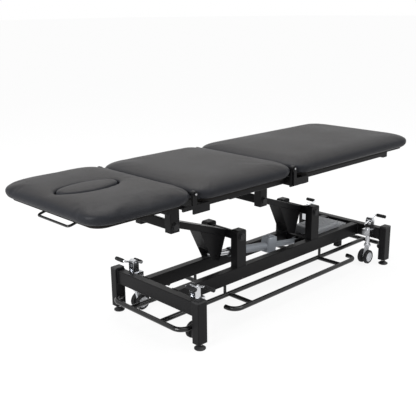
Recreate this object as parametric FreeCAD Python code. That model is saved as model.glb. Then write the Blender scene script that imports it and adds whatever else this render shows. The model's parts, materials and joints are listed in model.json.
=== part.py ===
import FreeCAD, Part
import math
import os

# Three-section treatment table on a parallelogram lift.
# X runs along the table toward the foot end, Y across it, Z up; millimetres.
# Lengths below are measured from the middle of the base; the finished model is
# moved along X so that the middle of its whole length stands at the origin.

V = FreeCAD.Vector

# Clearances
running_fit = 0.1
bolt_fit = 0.05
side_gap = 0.3
bore_end_gap = 2.0
cut_over = 1.0
pin_head_out = 4.0
open_pivot_gap = 0.5

# Base frame
foot_spacing_x = 1384.0
foot_spacing_y = 550.0
leg_x = 52.0
leg_y = 40.0
leg_bottom = 28.0
leg_above_beam = 5.0
leg_corner = 4.0
cap_height = 8.0
cap_round = 3.8
beam_top = 205.0
beam_height = 64.0
beam_width = 40.0
beam_corner = 4.0
beam_outer_y = 118.0
crossbeam_width = 40.0
crossbeam_setback = 12.0

# Levelling feet
foot_disc_radius = 25.0
foot_disc_height = 8.0
foot_disc_edge = 2.0
foot_cone_radius = 12.0
foot_cone_height = 7.0
foot_stem_radius = 6.0
foot_stem_seat = 36.0
foot_bore_spare = 4.0

# Lift: two equal arms between posts on the base and posts under the top frame
pivot_spacing = 550.0
front_pivot_x = -273.0
lower_pivot_z = 351.0
arm_length = 425.0
arm_rest_angle = 19.5
arm_width = 72.0
arm_height = 30.0
cross_tube = 40.0
post_x = 60.0
post_above_pivot = 33.0
post_round = 12.0
hanger_x = 50.0
hanger_above_pivot = 105.0
hanger_below_pivot = 27.0
pivot_bolt_radius = 8.0
pivot_bolt_reach = 40.0
bolt_head_radius = 13.0
bolt_head_height = 9.0

# Lever under each arm, given along and below the arm
lever_far_end = 190.0
lever_near_end = 20.0
lever_tip_near = 20.0
lever_tip_far = 68.0
lever_depth = 134.0
lever_wall = 5.0
lever_web_wall = 7.5
lever_web_depth = 92.0
lever_pin_along = 44.0
lever_pin_below = 116.0
lever_pin_radius = 7.0
lever_pin_stub = 13.0

# Actuator
rear_pivot_x = 262.0
rear_pivot_below_beam = 33.0
rear_eye_radius = 14.0
rear_eye_width = 24.0
rear_pin_radius = 6.0
tail_radius = 15.0
tail_neck_radius = 11.0
tail_neck_length = 14.0
motor_start = 178.0
motor_end = 246.0
motor_width = 52.0
motor_below = 30.0
motor_above = 48.0
motor_round = 9.0
motor_crown_round = 6.0
outer_tube_radius = 20.0
outer_tube_end = 505.0
front_ring_length = 16.0
front_ring_rise = 3.0
rod_radius = 12.0
rod_inner_end = 345.0
rod_bore_end = 262.0
rod_eye_radius = 13.0
rod_eye_width = 30.0
rod_bush_radius = 7.0
rod_bush_width = 34.0
tie_tube = 40.0
tie_back = 28.0
clevis_wall = 6.0
clevis_reach = 16.0

# Control box and its tray
tray_thickness = 3.0
tray_below_beam = 45.0
tray_margin = 10.0
box_start = 345.0
box_length = 215.0
box_side_gap = 8.0
box_height = 70.0
box_round = 10.0
box_top_round = 6.0
box_lid_height = 18.0
box_groove = 2.0
box_rib_count = 5
box_rib_pitch = 18.0
box_rib_width = 8.0
box_rib_depth = 2.5
box_rib_margin = 28.0
supply_gap = 5.0
supply_length = 72.0
supply_height = 40.0
supply_side_gap = 16.0
supply_round = 6.0
switch_x = 490.0
switch_length = 36.0
switch_width = 30.0
switch_drop = 32.0
switch_corner = 3.0

# Foot control bar
bar_radius = 11.0
bar_z = 86.0
bar_beam_inset = 18.0
bar_overhang = 66.0
bar_end_inset = 43.0
bar_end_return = 52.0
bar_bend = 45.0
pedal_inset = 27.0
pedal_head_x = -455.0
pedal_foot_x = 465.0
pedal_return = 58.0
stub_head_x = -340.0
stub_foot_x = 330.0
stub_radius = 10.0
guide_head_x = -366.0
guide_foot_x = 345.0
guide_radius = 7.0
guide_depth = 34.0
bar_travel = 8.0

# Retractable castors
castor_inset = 30.0
castor_side_inset = 70.0
sleeve_width = 48.0
sleeve_below_beam = 7.0
sleeve_height = 33.0
sleeve_inner_wall = 11.0
stem_radius = 11.0
stem_below_sleeve = 55.0
stem_above_sleeve = 32.0
stem_flange_height = 6.0
stem_flange_rise = 4.0
cheek_wall = 4.0
cheek_gap = 28.0
cheek_length = 30.0
rocker_x_offset = 14.0
rocker_above_sleeve = 48.0
rocker_axle_radius = 4.0
rocker_axle_out = 3.0
rocker_side_gap = 0.5
rocker_hub_radius = 13.0
rocker_arm = 55.0
rocker_tilt = 18.0
rocker_rod_radius = 4.5
rocker_bend = 9.0
rocker_reach = 59.0
grip_radius = 9.5
grip_length = 56.0
grip_tip = 4.0
grip_waist = 1.0
spindle_radius = 6.0
spindle_height = 38.0
fork_disc_radius = 18.0
fork_disc_height = 8.0
fork_web = 14.0
fork_boss_radius = 13.0
castor_trail = 15.0
castor_axle_radius = 5.0
wheel_radius = 37.5
wheel_width = 19.0
wheel_gap = 1.0
wheel_lift = 8.0
wheel_hub_radius = 27.0
wheel_hub_recess = 2.0
wheel_edge = 4.0
wheel_cap_wall = 2.5
wheel_dish_radius = 13.5
wheel_cap_radius = 8.0
wheel_dish_step = 1.0
axle_end_gap = 2.0
fork_overlap = 2.0

# Top: cushions, boards, frames and hinges
table_half_width = 330.0
head_length = 480.0
foot_length = 959.0
head_hinge_ahead = 64.0
foot_hinge_ahead = 20.0
hinge_above_board = 30.0
cushion_gap = 7.0
corner_outer = 85.0
corner_joint = 80.0
side_draw = 2.5
board_thickness = 12.0
board_inset = 30.0
board_corner = 50.0
frame_tube = 40.0
frame_inset = 34.0
rail_width = 30.0
rail_height = 34.0
rail_inset = 68.0
frame_corner = 4.0
lug_wall = 8.0
lug_gap = 0.5
lug_neck_back = 3.0
lug_neck_front = 15.0
lug_boss = 13.0
lug_foot_height = 8.0
lug_side_height = 16.0
lug_tongue = 24.0
hinge_pin_radius = 5.0
hinge_head_radius = 8.0
hinge_head_height = 4.0
swing_clear = 65.0
foot_swing_clear = 60.0
head_end_tube = 106.0
head_rail_beyond_post = 94.0
head_tube_height = 30.0
head_tube_inset = 68.0
foot_end_tube = 130.0
foot_mid_tube = 466.0

# Cushion profile: a small round under the edge and a wide pillow roll above it
under_round = 15.0
under_height = 20.0
under_steps = 3
roll_width = 95.0
roll_height = 46.0
roll_steps = 6
corner_draw_share = 0.5

# Face opening and its plug
plug_from_end = 205.0
plug_length = 276.0
plug_width = 132.0
plug_end_share = 0.7
plug_clearance = 1.2
plug_ledge = 10.0
plug_proud = 2.0
plug_crown = 3.0
plug_round = 8.0
plug_crown_share = 0.6

# Release handle at the head end
handle_width = 212.0
handle_rod_radius = 5.0
handle_bend = 14.0
handle_drop = 15.0
handle_setback = 42.0
handle_lug_wall = 6.0
handle_slot_gap = 0.6
handle_side_gap = 0.3

# Gas struts
strut_radius = 11.0
strut_rod_radius = 5.0
strut_eye_radius = 10.0
strut_eye_width = 16.0
strut_bush_width = 19.0
strut_pin_radius = 5.0
strut_cheek_wall = 5.0
strut_cheek_gap = 24.0
strut_cheek_half = 15.0
strut_drop = 111.0
strut_top_drop = 62.0
strut_neck = 8.0
head_strut_beyond_post = 32.0
head_strut_offset = 10.0
foot_strut_offset = 60.0
strut_mount_reach = 24.0
strut_mount_wall = 5.0
head_strut_cover = 190.0
foot_strut_cover = 205.0
strut_rod_hidden = 90.0
strut_bore_spare = 70.0

# Derived places
foot_x = foot_spacing_x / 2
foot_y = foot_spacing_y / 2
leg_top = beam_top + leg_above_beam
beam_bottom = beam_top - beam_height
beam_inner_y = beam_outer_y - beam_width
crossbeam_outer = foot_x + leg_x / 2 - crossbeam_setback
crossbeam_inner = crossbeam_outer - crossbeam_width
rear_arm_pivot_x = front_pivot_x + pivot_spacing
upper_front_x = front_pivot_x - arm_length * math.cos(math.radians(arm_rest_angle))
upper_pivot_z = lower_pivot_z + arm_length * math.sin(math.radians(arm_rest_angle))
upper_rear_x = upper_front_x + pivot_spacing
rear_pivot_z = beam_top - rear_pivot_below_beam
tray_top = beam_top - tray_below_beam
bar_y = beam_outer_y - bar_beam_inset
bar_end_x = foot_x + bar_overhang
bar_end_y = foot_y - bar_end_inset
pedal_y = foot_y - pedal_inset
castor_x = crossbeam_inner - castor_inset
castor_y = foot_y - castor_side_inset
sleeve_top = beam_top - sleeve_below_beam
sleeve_bottom = sleeve_top - sleeve_height
stem_bottom = sleeve_bottom - stem_below_sleeve
stem_top = sleeve_top + stem_above_sleeve
rocker_z = sleeve_top + rocker_above_sleeve
frame_bottom = upper_pivot_z + hanger_above_pivot
frame_top = frame_bottom + frame_tube
cushion_bottom = frame_top + board_thickness
cushion_top = cushion_bottom + under_height + roll_height
hinge_z = cushion_bottom + hinge_above_board
head_hinge_x = upper_front_x - head_hinge_ahead
foot_hinge_x = upper_rear_x - foot_hinge_ahead
head_end_x = head_hinge_x - head_length
foot_end_x = foot_hinge_x + foot_length
frame_half_width = table_half_width - frame_inset
rail_outer_y = table_half_width - rail_inset
head_rail_outer_y = beam_outer_y + head_rail_beyond_post
head_strut_y = beam_outer_y + head_strut_beyond_post
head_hinge_tube_y = table_half_width - head_tube_inset
foot_mid_tube_x = foot_hinge_x + foot_mid_tube
plug_x = head_end_x + plug_from_end
base_x = -(head_end_x + max(foot_end_x, bar_end_x + bar_radius)) / 2
lug_y = frame_half_width
swing_lug_y = lug_y + lug_wall + lug_gap
head_joint_end = head_hinge_x - cushion_gap / 2
mid_head_end = head_hinge_x + cushion_gap / 2
mid_foot_end = foot_hinge_x - cushion_gap / 2
foot_joint_end = foot_hinge_x + cushion_gap / 2
sides = (("near", -1), ("far", 1))
ends = (("head", -1), ("foot", 1))


def block(x0, x1, y0, y1, z0, z1):
    low = V(min(x0, x1), min(y0, y1), min(z0, z1))
    return Part.makeBox(abs(x1 - x0), abs(y1 - y0), abs(z1 - z0), low)


def edges_along(shape, axis):
    found = []
    for edge in shape.Edges:
        a = edge.Vertexes[0].Point
        b = edge.Vertexes[-1].Point
        if (b - a).cross(axis).Length < 1e-6:
            found.append(edge)
    return found


def tube(x0, x1, y0, y1, z0, z1, axis, corner):
    bar = block(x0, x1, y0, y1, z0, z1)
    return bar.makeFillet(corner, edges_along(bar, axis))


def along_x(x0, x1, y0, y1, z0, z1, corner):
    return tube(x0, x1, y0, y1, z0, z1, V(1, 0, 0), corner)


def along_y(x0, x1, y0, y1, z0, z1, corner):
    return tube(x0, x1, y0, y1, z0, z1, V(0, 1, 0), corner)


def upright(x0, x1, y0, y1, z0, z1, corner):
    return tube(x0, x1, y0, y1, z0, z1, V(0, 0, 1), corner)


def rod(start, end, radius):
    return Part.makeCylinder(radius, (end - start).Length, start, end - start)


def pin_y(x, z, y0, y1, radius):
    return rod(V(x, min(y0, y1), z), V(x, max(y0, y1), z), radius)


def plate_xz(points, y0, y1):
    low = min(y0, y1)
    corners = [V(x, low, z) for x, z in points]
    wire = Part.makePolygon(corners + corners[:1])
    return Part.Face(wire).extrude(V(0, abs(y1 - y0), 0))


def lathe(profile, x, y):
    points = [V(x + r, y, z) for r, z in profile]
    wire = Part.makePolygon(points + points[:1])
    return Part.Face(wire).revolve(V(x, y, 0), V(0, 0, 1), 360)


def lathe_y(profile, x, z):
    points = [V(x + r, y, z) for r, y in profile]
    wire = Part.makePolygon(points + points[:1])
    return Part.Face(wire).revolve(V(x, 0, z), V(0, 1, 0), 360)


def bent_rod(points, bend, radius):
    parts = []
    start = points[0]
    for before, corner, after in zip(points, points[1:], points[2:]):
        arriving = (corner - before).normalize()
        leaving = (after - corner).normalize()
        turn = arriving.getAngle(leaving)
        back = bend * math.tan(turn / 2)
        first = corner - arriving * back
        last = corner + leaving * back
        inward = (leaving - arriving).normalize()
        middle = corner + inward * (bend / math.cos(turn / 2) - bend)
        parts.append(Part.LineSegment(start, first).toShape())
        parts.append(Part.Arc(first, middle, last).toShape())
        start = last
    parts.append(Part.LineSegment(start, points[-1]).toShape())
    path = Part.Wire(parts)
    ring = Part.Wire(Part.makeCircle(radius, points[0], points[1] - points[0]))
    return path.makePipeShell([ring], True, False)


def turn_y(shape, x, z, degrees):
    turned = shape.copy()
    turned.rotate(V(x, 0, z), V(0, 1, 0), degrees)
    return turned


def drawn_rectangle(x0, x1, half_y, corner_low, corner_high, draw, z):
    # Rounded outline whose four sides bow in slightly between the corners
    diagonal = 1 - math.sqrt(0.5)
    a, b = corner_low, corner_high
    half = (x0 + x1) / 2
    route = [
        (V(x0 + a, -half_y, z), V(half, -half_y + draw, z), V(x1 - b, -half_y, z)),
        (V(x1 - b, -half_y, z), V(x1 - b * diagonal, -half_y + b * diagonal, z), V(x1, -half_y + b, z)),
        (V(x1, -half_y + b, z), V(x1 - draw, 0, z), V(x1, half_y - b, z)),
        (V(x1, half_y - b, z), V(x1 - b * diagonal, half_y - b * diagonal, z), V(x1 - b, half_y, z)),
        (V(x1 - b, half_y, z), V(half, half_y - draw, z), V(x0 + a, half_y, z)),
        (V(x0 + a, half_y, z), V(x0 + a * diagonal, half_y - a * diagonal, z), V(x0, half_y - a, z)),
        (V(x0, half_y - a, z), V(x0 + draw, 0, z), V(x0, -half_y + a, z)),
        (V(x0, -half_y + a, z), V(x0 + a * diagonal, -half_y + a * diagonal, z), V(x0 + a, -half_y, z)),
    ]
    return Part.Wire([Part.Arc(p, q, r).toShape() for p, q, r in route])


def cushion_rings():
    # How far the edge draws in, and at what height, from the underside up to the crown
    rings = []
    for step in range(under_steps):
        turn = math.radians(90.0 * step / under_steps)
        rings.append((under_round * (1 - math.sin(turn)), under_height * (1 - math.cos(turn))))
    for step in range(roll_steps + 1):
        turn = math.radians(90.0 * step / roll_steps)
        rings.append((roll_width * (1 - math.cos(turn)), under_height + roll_height * math.sin(turn)))
    return rings


def cushion(x0, x1, corner_low, corner_high):
    wires = []
    for inset, height in cushion_rings():
        low = corner_low - inset * corner_draw_share
        high = corner_high - inset * corner_draw_share
        wires.append(drawn_rectangle(x0 + inset, x1 - inset, table_half_width - inset,
                                     low, high, side_draw, cushion_bottom + height))
    return Part.makeLoft(wires, True, True)


def oval(length, width, z):
    # Four tangent arcs: two small ones at the ends and two wide ones along the flanks
    a = length / 2
    b = width / 2
    end_radius = b * plug_end_share
    side_radius = ((a - end_radius) ** 2 + b * b - end_radius ** 2) / (2 * (b - end_radius))
    swing = math.atan2(side_radius - b, a - end_radius)
    join = (a - end_radius + end_radius * math.cos(swing), end_radius * math.sin(swing))
    right = [V(plug_x + join[0], -join[1], z), V(plug_x + a, 0, z), V(plug_x + join[0], join[1], z)]
    top = [right[2], V(plug_x, b, z), V(plug_x - join[0], join[1], z)]
    left = [top[2], V(plug_x - a, 0, z), V(plug_x - join[0], -join[1], z)]
    low = [left[2], V(plug_x, -b, z), right[0]]
    return Part.Wire([Part.Arc(*arc).toShape() for arc in (right, top, left, low)])


def oval_block(length, width, z0, z1):
    return Part.Face(oval(length, width, z0)).extrude(V(0, 0, z1 - z0))


def hinge_lug(x, y0, foot_end, foot_low, foot_height, side):
    # Plate with a boss on the hinge line, a neck on its own side and a foot along the frame
    y1 = y0 + lug_wall
    foot = block(x - side * lug_neck_back, foot_end, y0, y1, foot_low, foot_low + foot_height)
    neck = block(x - side * lug_neck_back, x + side * lug_neck_front, y0, y1, foot_low, hinge_z)
    boss = pin_y(x, hinge_z, y0, y1, lug_boss)
    return foot.fuse([neck, boss]).removeSplitter()


def mirrored(shape):
    return shape.mirror(V(0, 0, 0), V(0, 1, 0))


def save(name, solids):
    shape = solids[0] if len(solids) == 1 else Part.makeCompound(solids)
    shape = shape.copy()
    shape.translate(V(base_x, 0, 0))
    shape.exportStep("parts/" + name + ".step")


os.makedirs("parts", exist_ok=True)

# Legs, caps and levelling feet
legs = []
caps = []
for end_name, sx in ends:
    for side_name, sy in sides:
        x = sx * foot_x
        y = sy * foot_y
        leg = upright(x - leg_x / 2, x + leg_x / 2, y - leg_y / 2, y + leg_y / 2,
                      leg_bottom, leg_top, leg_corner)
        bore_top = leg_bottom + foot_stem_seat + foot_bore_spare
        bore = rod(V(x, y, leg_bottom), V(x, y, bore_top), foot_stem_radius + running_fit)
        legs.append(leg.cut(bore))
        cap = upright(x - leg_x / 2, x + leg_x / 2, y - leg_y / 2, y + leg_y / 2,
                      leg_top, leg_top + cap_height, leg_corner)
        rim = [e for e in cap.Edges if all(abs(v.Z - leg_top - cap_height) < 1e-6 for v in e.Vertexes)]
        caps.append(cap.makeFillet(cap_round, rim))
        cone_top = foot_disc_height + foot_cone_height
        stem_end = leg_bottom + foot_stem_seat
        foot = lathe([(0, 0), (foot_disc_radius - foot_disc_edge, 0), (foot_disc_radius, foot_disc_edge),
                      (foot_disc_radius, foot_disc_height - foot_disc_edge), (foot_cone_radius, cone_top),
                      (foot_stem_radius, cone_top), (foot_stem_radius, stem_end), (0, stem_end)], x, y)
        save("levelling_foot_" + end_name + "_" + side_name, [foot])
save("legs", legs)
save("leg_caps", caps)

# Crossbeams between the legs
crossbeams = []
for end_name, sx in ends:
    inner = foot_y - leg_y / 2
    crossbeams.append(along_y(sx * crossbeam_inner, sx * crossbeam_outer, -inner, inner,
                              beam_bottom, beam_top, beam_corner))
save("crossbeams", crossbeams)

# Long beams with the bores that guide the foot control bar
beams = []
for side_name, sy in sides:
    beam = along_x(-crossbeam_inner, crossbeam_inner, sy * beam_inner_y, sy * beam_outer_y,
                   beam_bottom, beam_top, beam_corner)
    for guide_x in (guide_head_x, guide_foot_x):
        start = V(guide_x, sy * bar_y, beam_bottom)
        bore_depth = guide_depth + bar_travel + bore_end_gap
        bore = rod(start, start + V(0, 0, bore_depth), guide_radius + running_fit)
        beam = beam.cut(bore)
    beams.append(beam)
save("long_beams", beams)


def pivot_bolt(x, z, sy):
    shank = pin_y(x, z, sy * (beam_inner_y - pivot_bolt_reach), sy * beam_outer_y, pivot_bolt_radius)
    head = pin_y(x, z, sy * beam_outer_y, sy * (beam_outer_y + bolt_head_height), bolt_head_radius)
    return shank.fuse(head).removeSplitter()


# Posts on the beams, with the lower pivot bolts
posts = []
lower_bolts = []
for pivot_x in (front_pivot_x, rear_arm_pivot_x):
    for side_name, sy in sides:
        post = block(pivot_x - post_x / 2, pivot_x + post_x / 2, sy * beam_inner_y, sy * beam_outer_y,
                     beam_top, lower_pivot_z + post_above_pivot)
        top = [e for e in edges_along(post, V(0, 1, 0)) if e.Vertexes[0].Z > lower_pivot_z]
        post = post.makeFillet(post_round, top)
        hole = pin_y(pivot_x, lower_pivot_z, sy * beam_inner_y, sy * beam_outer_y,
                     pivot_bolt_radius + bolt_fit)
        posts.append(post.cut(hole))
        lower_bolts.append(pivot_bolt(pivot_x, lower_pivot_z, sy))
save("base_posts", posts)
save("lower_pivot_bolts", lower_bolts)


def swing_arm(pivot_x, upper_clearance):
    # Two cross tubes with bored ends, joined by one flat box arm; made level, then tilted
    half_tube = cross_tube / 2
    tube_end = beam_inner_y - side_gap
    pieces = []
    for along, clearance in ((0.0, running_fit), (arm_length, upper_clearance)):
        x = pivot_x - along
        bar = along_y(x - half_tube, x + half_tube, -tube_end, tube_end,
                      lower_pivot_z - half_tube, lower_pivot_z + half_tube, frame_corner)
        for sy in (-1, 1):
            bore_end = tube_end - pivot_bolt_reach - bore_end_gap
            bore = pin_y(x, lower_pivot_z, sy * bore_end, sy * tube_end, pivot_bolt_radius + clearance)
            bar = bar.cut(bore)
        pieces.append(bar)
    pieces.append(along_x(pivot_x - arm_length + half_tube, pivot_x - half_tube,
                          -arm_width / 2, arm_width / 2,
                          lower_pivot_z - arm_height / 2, lower_pivot_z + arm_height / 2, frame_corner))
    return [turn_y(piece, pivot_x, lower_pivot_z, arm_rest_angle) for piece in pieces]


def arm_lever(pivot_x, with_stubs):
    # Two tapered cheeks and a sloping web, hung under the arm
    top = lower_pivot_z - arm_height / 2
    tip = lower_pivot_z - lever_depth
    outline = [(pivot_x - lever_far_end, top), (pivot_x - lever_near_end, top),
               (pivot_x - lever_tip_near, tip), (pivot_x - lever_tip_far, tip)]
    pieces = []
    for side_name, sy in sides:
        outer = sy * arm_width / 2
        inner = sy * (arm_width / 2 - lever_wall)
        cheek = plate_xz(outline, inner, outer)
        if with_stubs:
            stub_inner = arm_width / 2 - lever_wall - lever_pin_stub
            stub_outer = arm_width / 2 + pin_head_out
            stub = pin_y(pivot_x - lever_pin_along, lower_pivot_z - lever_pin_below,
                         sy * stub_inner, sy * stub_outer, lever_pin_radius)
            cheek = cheek.fuse(stub).removeSplitter()
        pieces.append(cheek)
    slope = (lever_far_end - lever_tip_far) / (lever_depth - arm_height / 2)
    web_end = pivot_x - lever_far_end + slope * (lever_web_depth - arm_height / 2)
    web_low = lower_pivot_z - lever_web_depth
    web = [(pivot_x - lever_far_end, top), (pivot_x - lever_far_end + lever_web_wall, top),
           (web_end + lever_web_wall, web_low), (web_end, web_low)]
    pieces.append(plate_xz(web, lever_wall - arm_width / 2, arm_width / 2 - lever_wall))
    return [turn_y(piece, pivot_x, lower_pivot_z, arm_rest_angle) for piece in pieces]


save("front_arm", swing_arm(front_pivot_x, running_fit))
save("front_lever", arm_lever(front_pivot_x, True))
save("rear_arm", swing_arm(rear_arm_pivot_x, open_pivot_gap))
save("rear_lever", arm_lever(rear_arm_pivot_x, False))

# Tie between the beams with the actuator's clevis
tie_x = rear_pivot_x + tie_back
tie = along_y(tie_x, tie_x + tie_tube, -beam_inner_y, beam_inner_y,
              rear_pivot_z - tie_tube / 2, rear_pivot_z + tie_tube / 2, beam_corner)
tie_pieces = [tie]
for side_name, sy in sides:
    y0 = rear_eye_width / 2 + side_gap
    cheek = block(rear_pivot_x, tie_x, sy * y0, sy * (y0 + clevis_wall),
                  rear_pivot_z - clevis_reach, rear_pivot_z + clevis_reach)
    nose = pin_y(rear_pivot_x, rear_pivot_z, sy * y0, sy * (y0 + clevis_wall), clevis_reach)
    hole = pin_y(rear_pivot_x, rear_pivot_z, sy * y0, sy * (y0 + clevis_wall), rear_pin_radius + bolt_fit)
    tie_pieces.append(cheek.fuse(nose).removeSplitter().cut(hole))
pin_end = rear_eye_width / 2 + side_gap + clevis_wall + pin_head_out
tie_pieces.append(pin_y(rear_pivot_x, rear_pivot_z, -pin_end, pin_end, rear_pin_radius))
save("actuator_tie", tie_pieces)

# Actuator, made level along -X from its rear pivot and then tilted to the lever pin
pin_turn = math.radians(arm_rest_angle)
lever_pin_x = front_pivot_x - lever_pin_along * math.cos(pin_turn) - lever_pin_below * math.sin(pin_turn)
lever_pin_z = lower_pivot_z + lever_pin_along * math.sin(pin_turn) - lever_pin_below * math.cos(pin_turn)
actuator_length = math.hypot(rear_pivot_x - lever_pin_x, lever_pin_z - rear_pivot_z)
actuator_tilt = math.degrees(math.atan2(lever_pin_z - rear_pivot_z, rear_pivot_x - lever_pin_x))


def on_axis(along):
    return V(rear_pivot_x - along, 0, rear_pivot_z)


def tilted(shape):
    return turn_y(shape, rear_pivot_x, rear_pivot_z, actuator_tilt)


rear_eye = pin_y(rear_pivot_x, rear_pivot_z, -rear_eye_width / 2, rear_eye_width / 2, rear_eye_radius)
tail = rod(on_axis(rear_pin_radius + running_fit), on_axis(motor_start), tail_neck_radius)
collar = rod(on_axis(rear_eye_radius + tail_neck_length), on_axis(motor_start), tail_radius)
barrel = rod(on_axis(motor_end), on_axis(outer_tube_end), outer_tube_radius)
ring_start = on_axis(outer_tube_end - front_ring_length)
front_ring = rod(ring_start, on_axis(outer_tube_end), outer_tube_radius + front_ring_rise)
body = rear_eye.fuse([tail, collar]).removeSplitter()
eye_hole = pin_y(rear_pivot_x, rear_pivot_z, -rear_eye_width, rear_eye_width, rear_pin_radius + running_fit)
bore = rod(on_axis(rod_bore_end), on_axis(outer_tube_end + cut_over), rod_radius + running_fit)
body_pieces = [tilted(body.cut(eye_hole)), tilted(barrel.fuse(front_ring).removeSplitter().cut(bore))]
save("actuator_tube", body_pieces)
motor = block(rear_pivot_x - motor_end, rear_pivot_x - motor_start, -motor_width / 2, motor_width / 2,
              rear_pivot_z - motor_below, rear_pivot_z + motor_above)
motor = motor.makeFillet(motor_round, edges_along(motor, V(0, 0, 1)))
crown = [e for e in motor.Edges if all(abs(v.Z - rear_pivot_z - motor_above) < 1e-6 for v in e.Vertexes)]
motor = motor.makeFillet(motor_crown_round, crown)
save("actuator_motor", [tilted(motor)])
shaft = rod(on_axis(rod_inner_end), on_axis(actuator_length), rod_radius)
rod_end = on_axis(actuator_length)
eye = pin_y(rod_end.x, rod_end.z, -rod_eye_width / 2, rod_eye_width / 2, rod_eye_radius)
bush = pin_y(rod_end.x, rod_end.z, -rod_bush_width / 2, rod_bush_width / 2, rod_bush_radius)
save("actuator_rod", [tilted(shaft.fuse([eye, bush]).removeSplitter())])

# Control box on its tray between the beams, and the switch block under the near beam
box_end = box_start + box_length
supply_start = box_end + supply_gap
supply_end = supply_start + supply_length
tray = block(box_start - tray_margin, supply_end + tray_margin, -beam_inner_y, beam_inner_y,
             tray_top - tray_thickness, tray_top)
switch = upright(switch_x, switch_x + switch_length, -bar_y - switch_width / 2, -bar_y + switch_width / 2,
                 beam_bottom - switch_drop, beam_bottom, switch_corner)
save("base_fittings", [tray, switch])
box_half = beam_inner_y - box_side_gap
box_top = tray_top + box_height
box = block(box_start, box_end, -box_half, box_half, tray_top, box_top)
box = box.makeFillet(box_round, edges_along(box, V(0, 0, 1)))
rim = [e for e in box.Edges if all(abs(v.Z - box_top) < 1e-6 for v in e.Vertexes)]
box = box.makeFillet(box_top_round, rim)
lid_z = box_top - box_lid_height
groove = block(box_start - cut_over, box_end + cut_over, -box_half - cut_over, box_half + cut_over,
               lid_z, lid_z + box_groove)
core = block(box_start + box_groove, box_end - box_groove, -box_half + box_groove, box_half - box_groove,
             lid_z, lid_z + box_groove)
box = box.cut(groove.cut(core.makeFillet(box_round - box_groove, edges_along(core, V(0, 0, 1)))))
middle = box_start + box_length / 2
for index in range(box_rib_count):
    x = middle + (index - (box_rib_count - 1) / 2) * box_rib_pitch
    slot = block(x - box_rib_width / 2, x + box_rib_width / 2,
                 box_rib_margin - box_half, box_half - box_rib_margin,
                 box_top - box_rib_depth, box_top + cut_over)
    box = box.cut(slot)
supply_half = beam_inner_y - supply_side_gap
supply_top = tray_top + supply_height
supply = upright(supply_start, supply_end, -supply_half, supply_half, tray_top, supply_top, supply_round)
save("control_box", [box, supply])

# Foot control bar: two long bars, a returned bar at each end, a pedal bar on each side
end_bars = []
for end_name, sx in ends:
    inner_x = sx * (bar_end_x - bar_end_return)
    route = [V(inner_x, bar_end_y, bar_z), V(sx * bar_end_x, bar_end_y, bar_z),
             V(sx * bar_end_x, -bar_end_y, bar_z), V(inner_x, -bar_end_y, bar_z)]
    end_bars.append(bent_rod(route, bar_bend, bar_radius))
control = []
for side_name, sy in sides:
    long_bar = rod(V(-bar_end_x, sy * bar_y, bar_z), V(bar_end_x, sy * bar_y, bar_z), bar_radius)
    long_bar = long_bar.cut(end_bars[0]).cut(end_bars[1])
    posts_here = []
    for guide_x in (guide_head_x, guide_foot_x):
        low = V(guide_x, sy * bar_y, bar_z)
        high = V(guide_x, sy * bar_y, beam_bottom + guide_depth)
        posts_here.append(rod(low, high, guide_radius).cut(long_bar))
    long_bar = max(long_bar.Solids, key=lambda s: s.Volume)
    control += [long_bar] + posts_here
    inner_y = sy * (pedal_y - pedal_return)
    route = [V(pedal_head_x, inner_y, bar_z), V(pedal_head_x, sy * pedal_y, bar_z),
             V(pedal_foot_x, sy * pedal_y, bar_z), V(pedal_foot_x, inner_y, bar_z)]
    pedal = bent_rod(route, bar_bend, bar_radius)
    for stub_x in (stub_head_x, stub_foot_x):
        stub = rod(V(stub_x, sy * bar_y, bar_z), V(stub_x, sy * pedal_y, bar_z), stub_radius)
        stub = stub.cut(long_bar).cut(pedal)
        control.append(max(stub.Solids, key=lambda s: s.Volume))
    control.append(pedal)
save("control_bar", control + end_bars)

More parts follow.
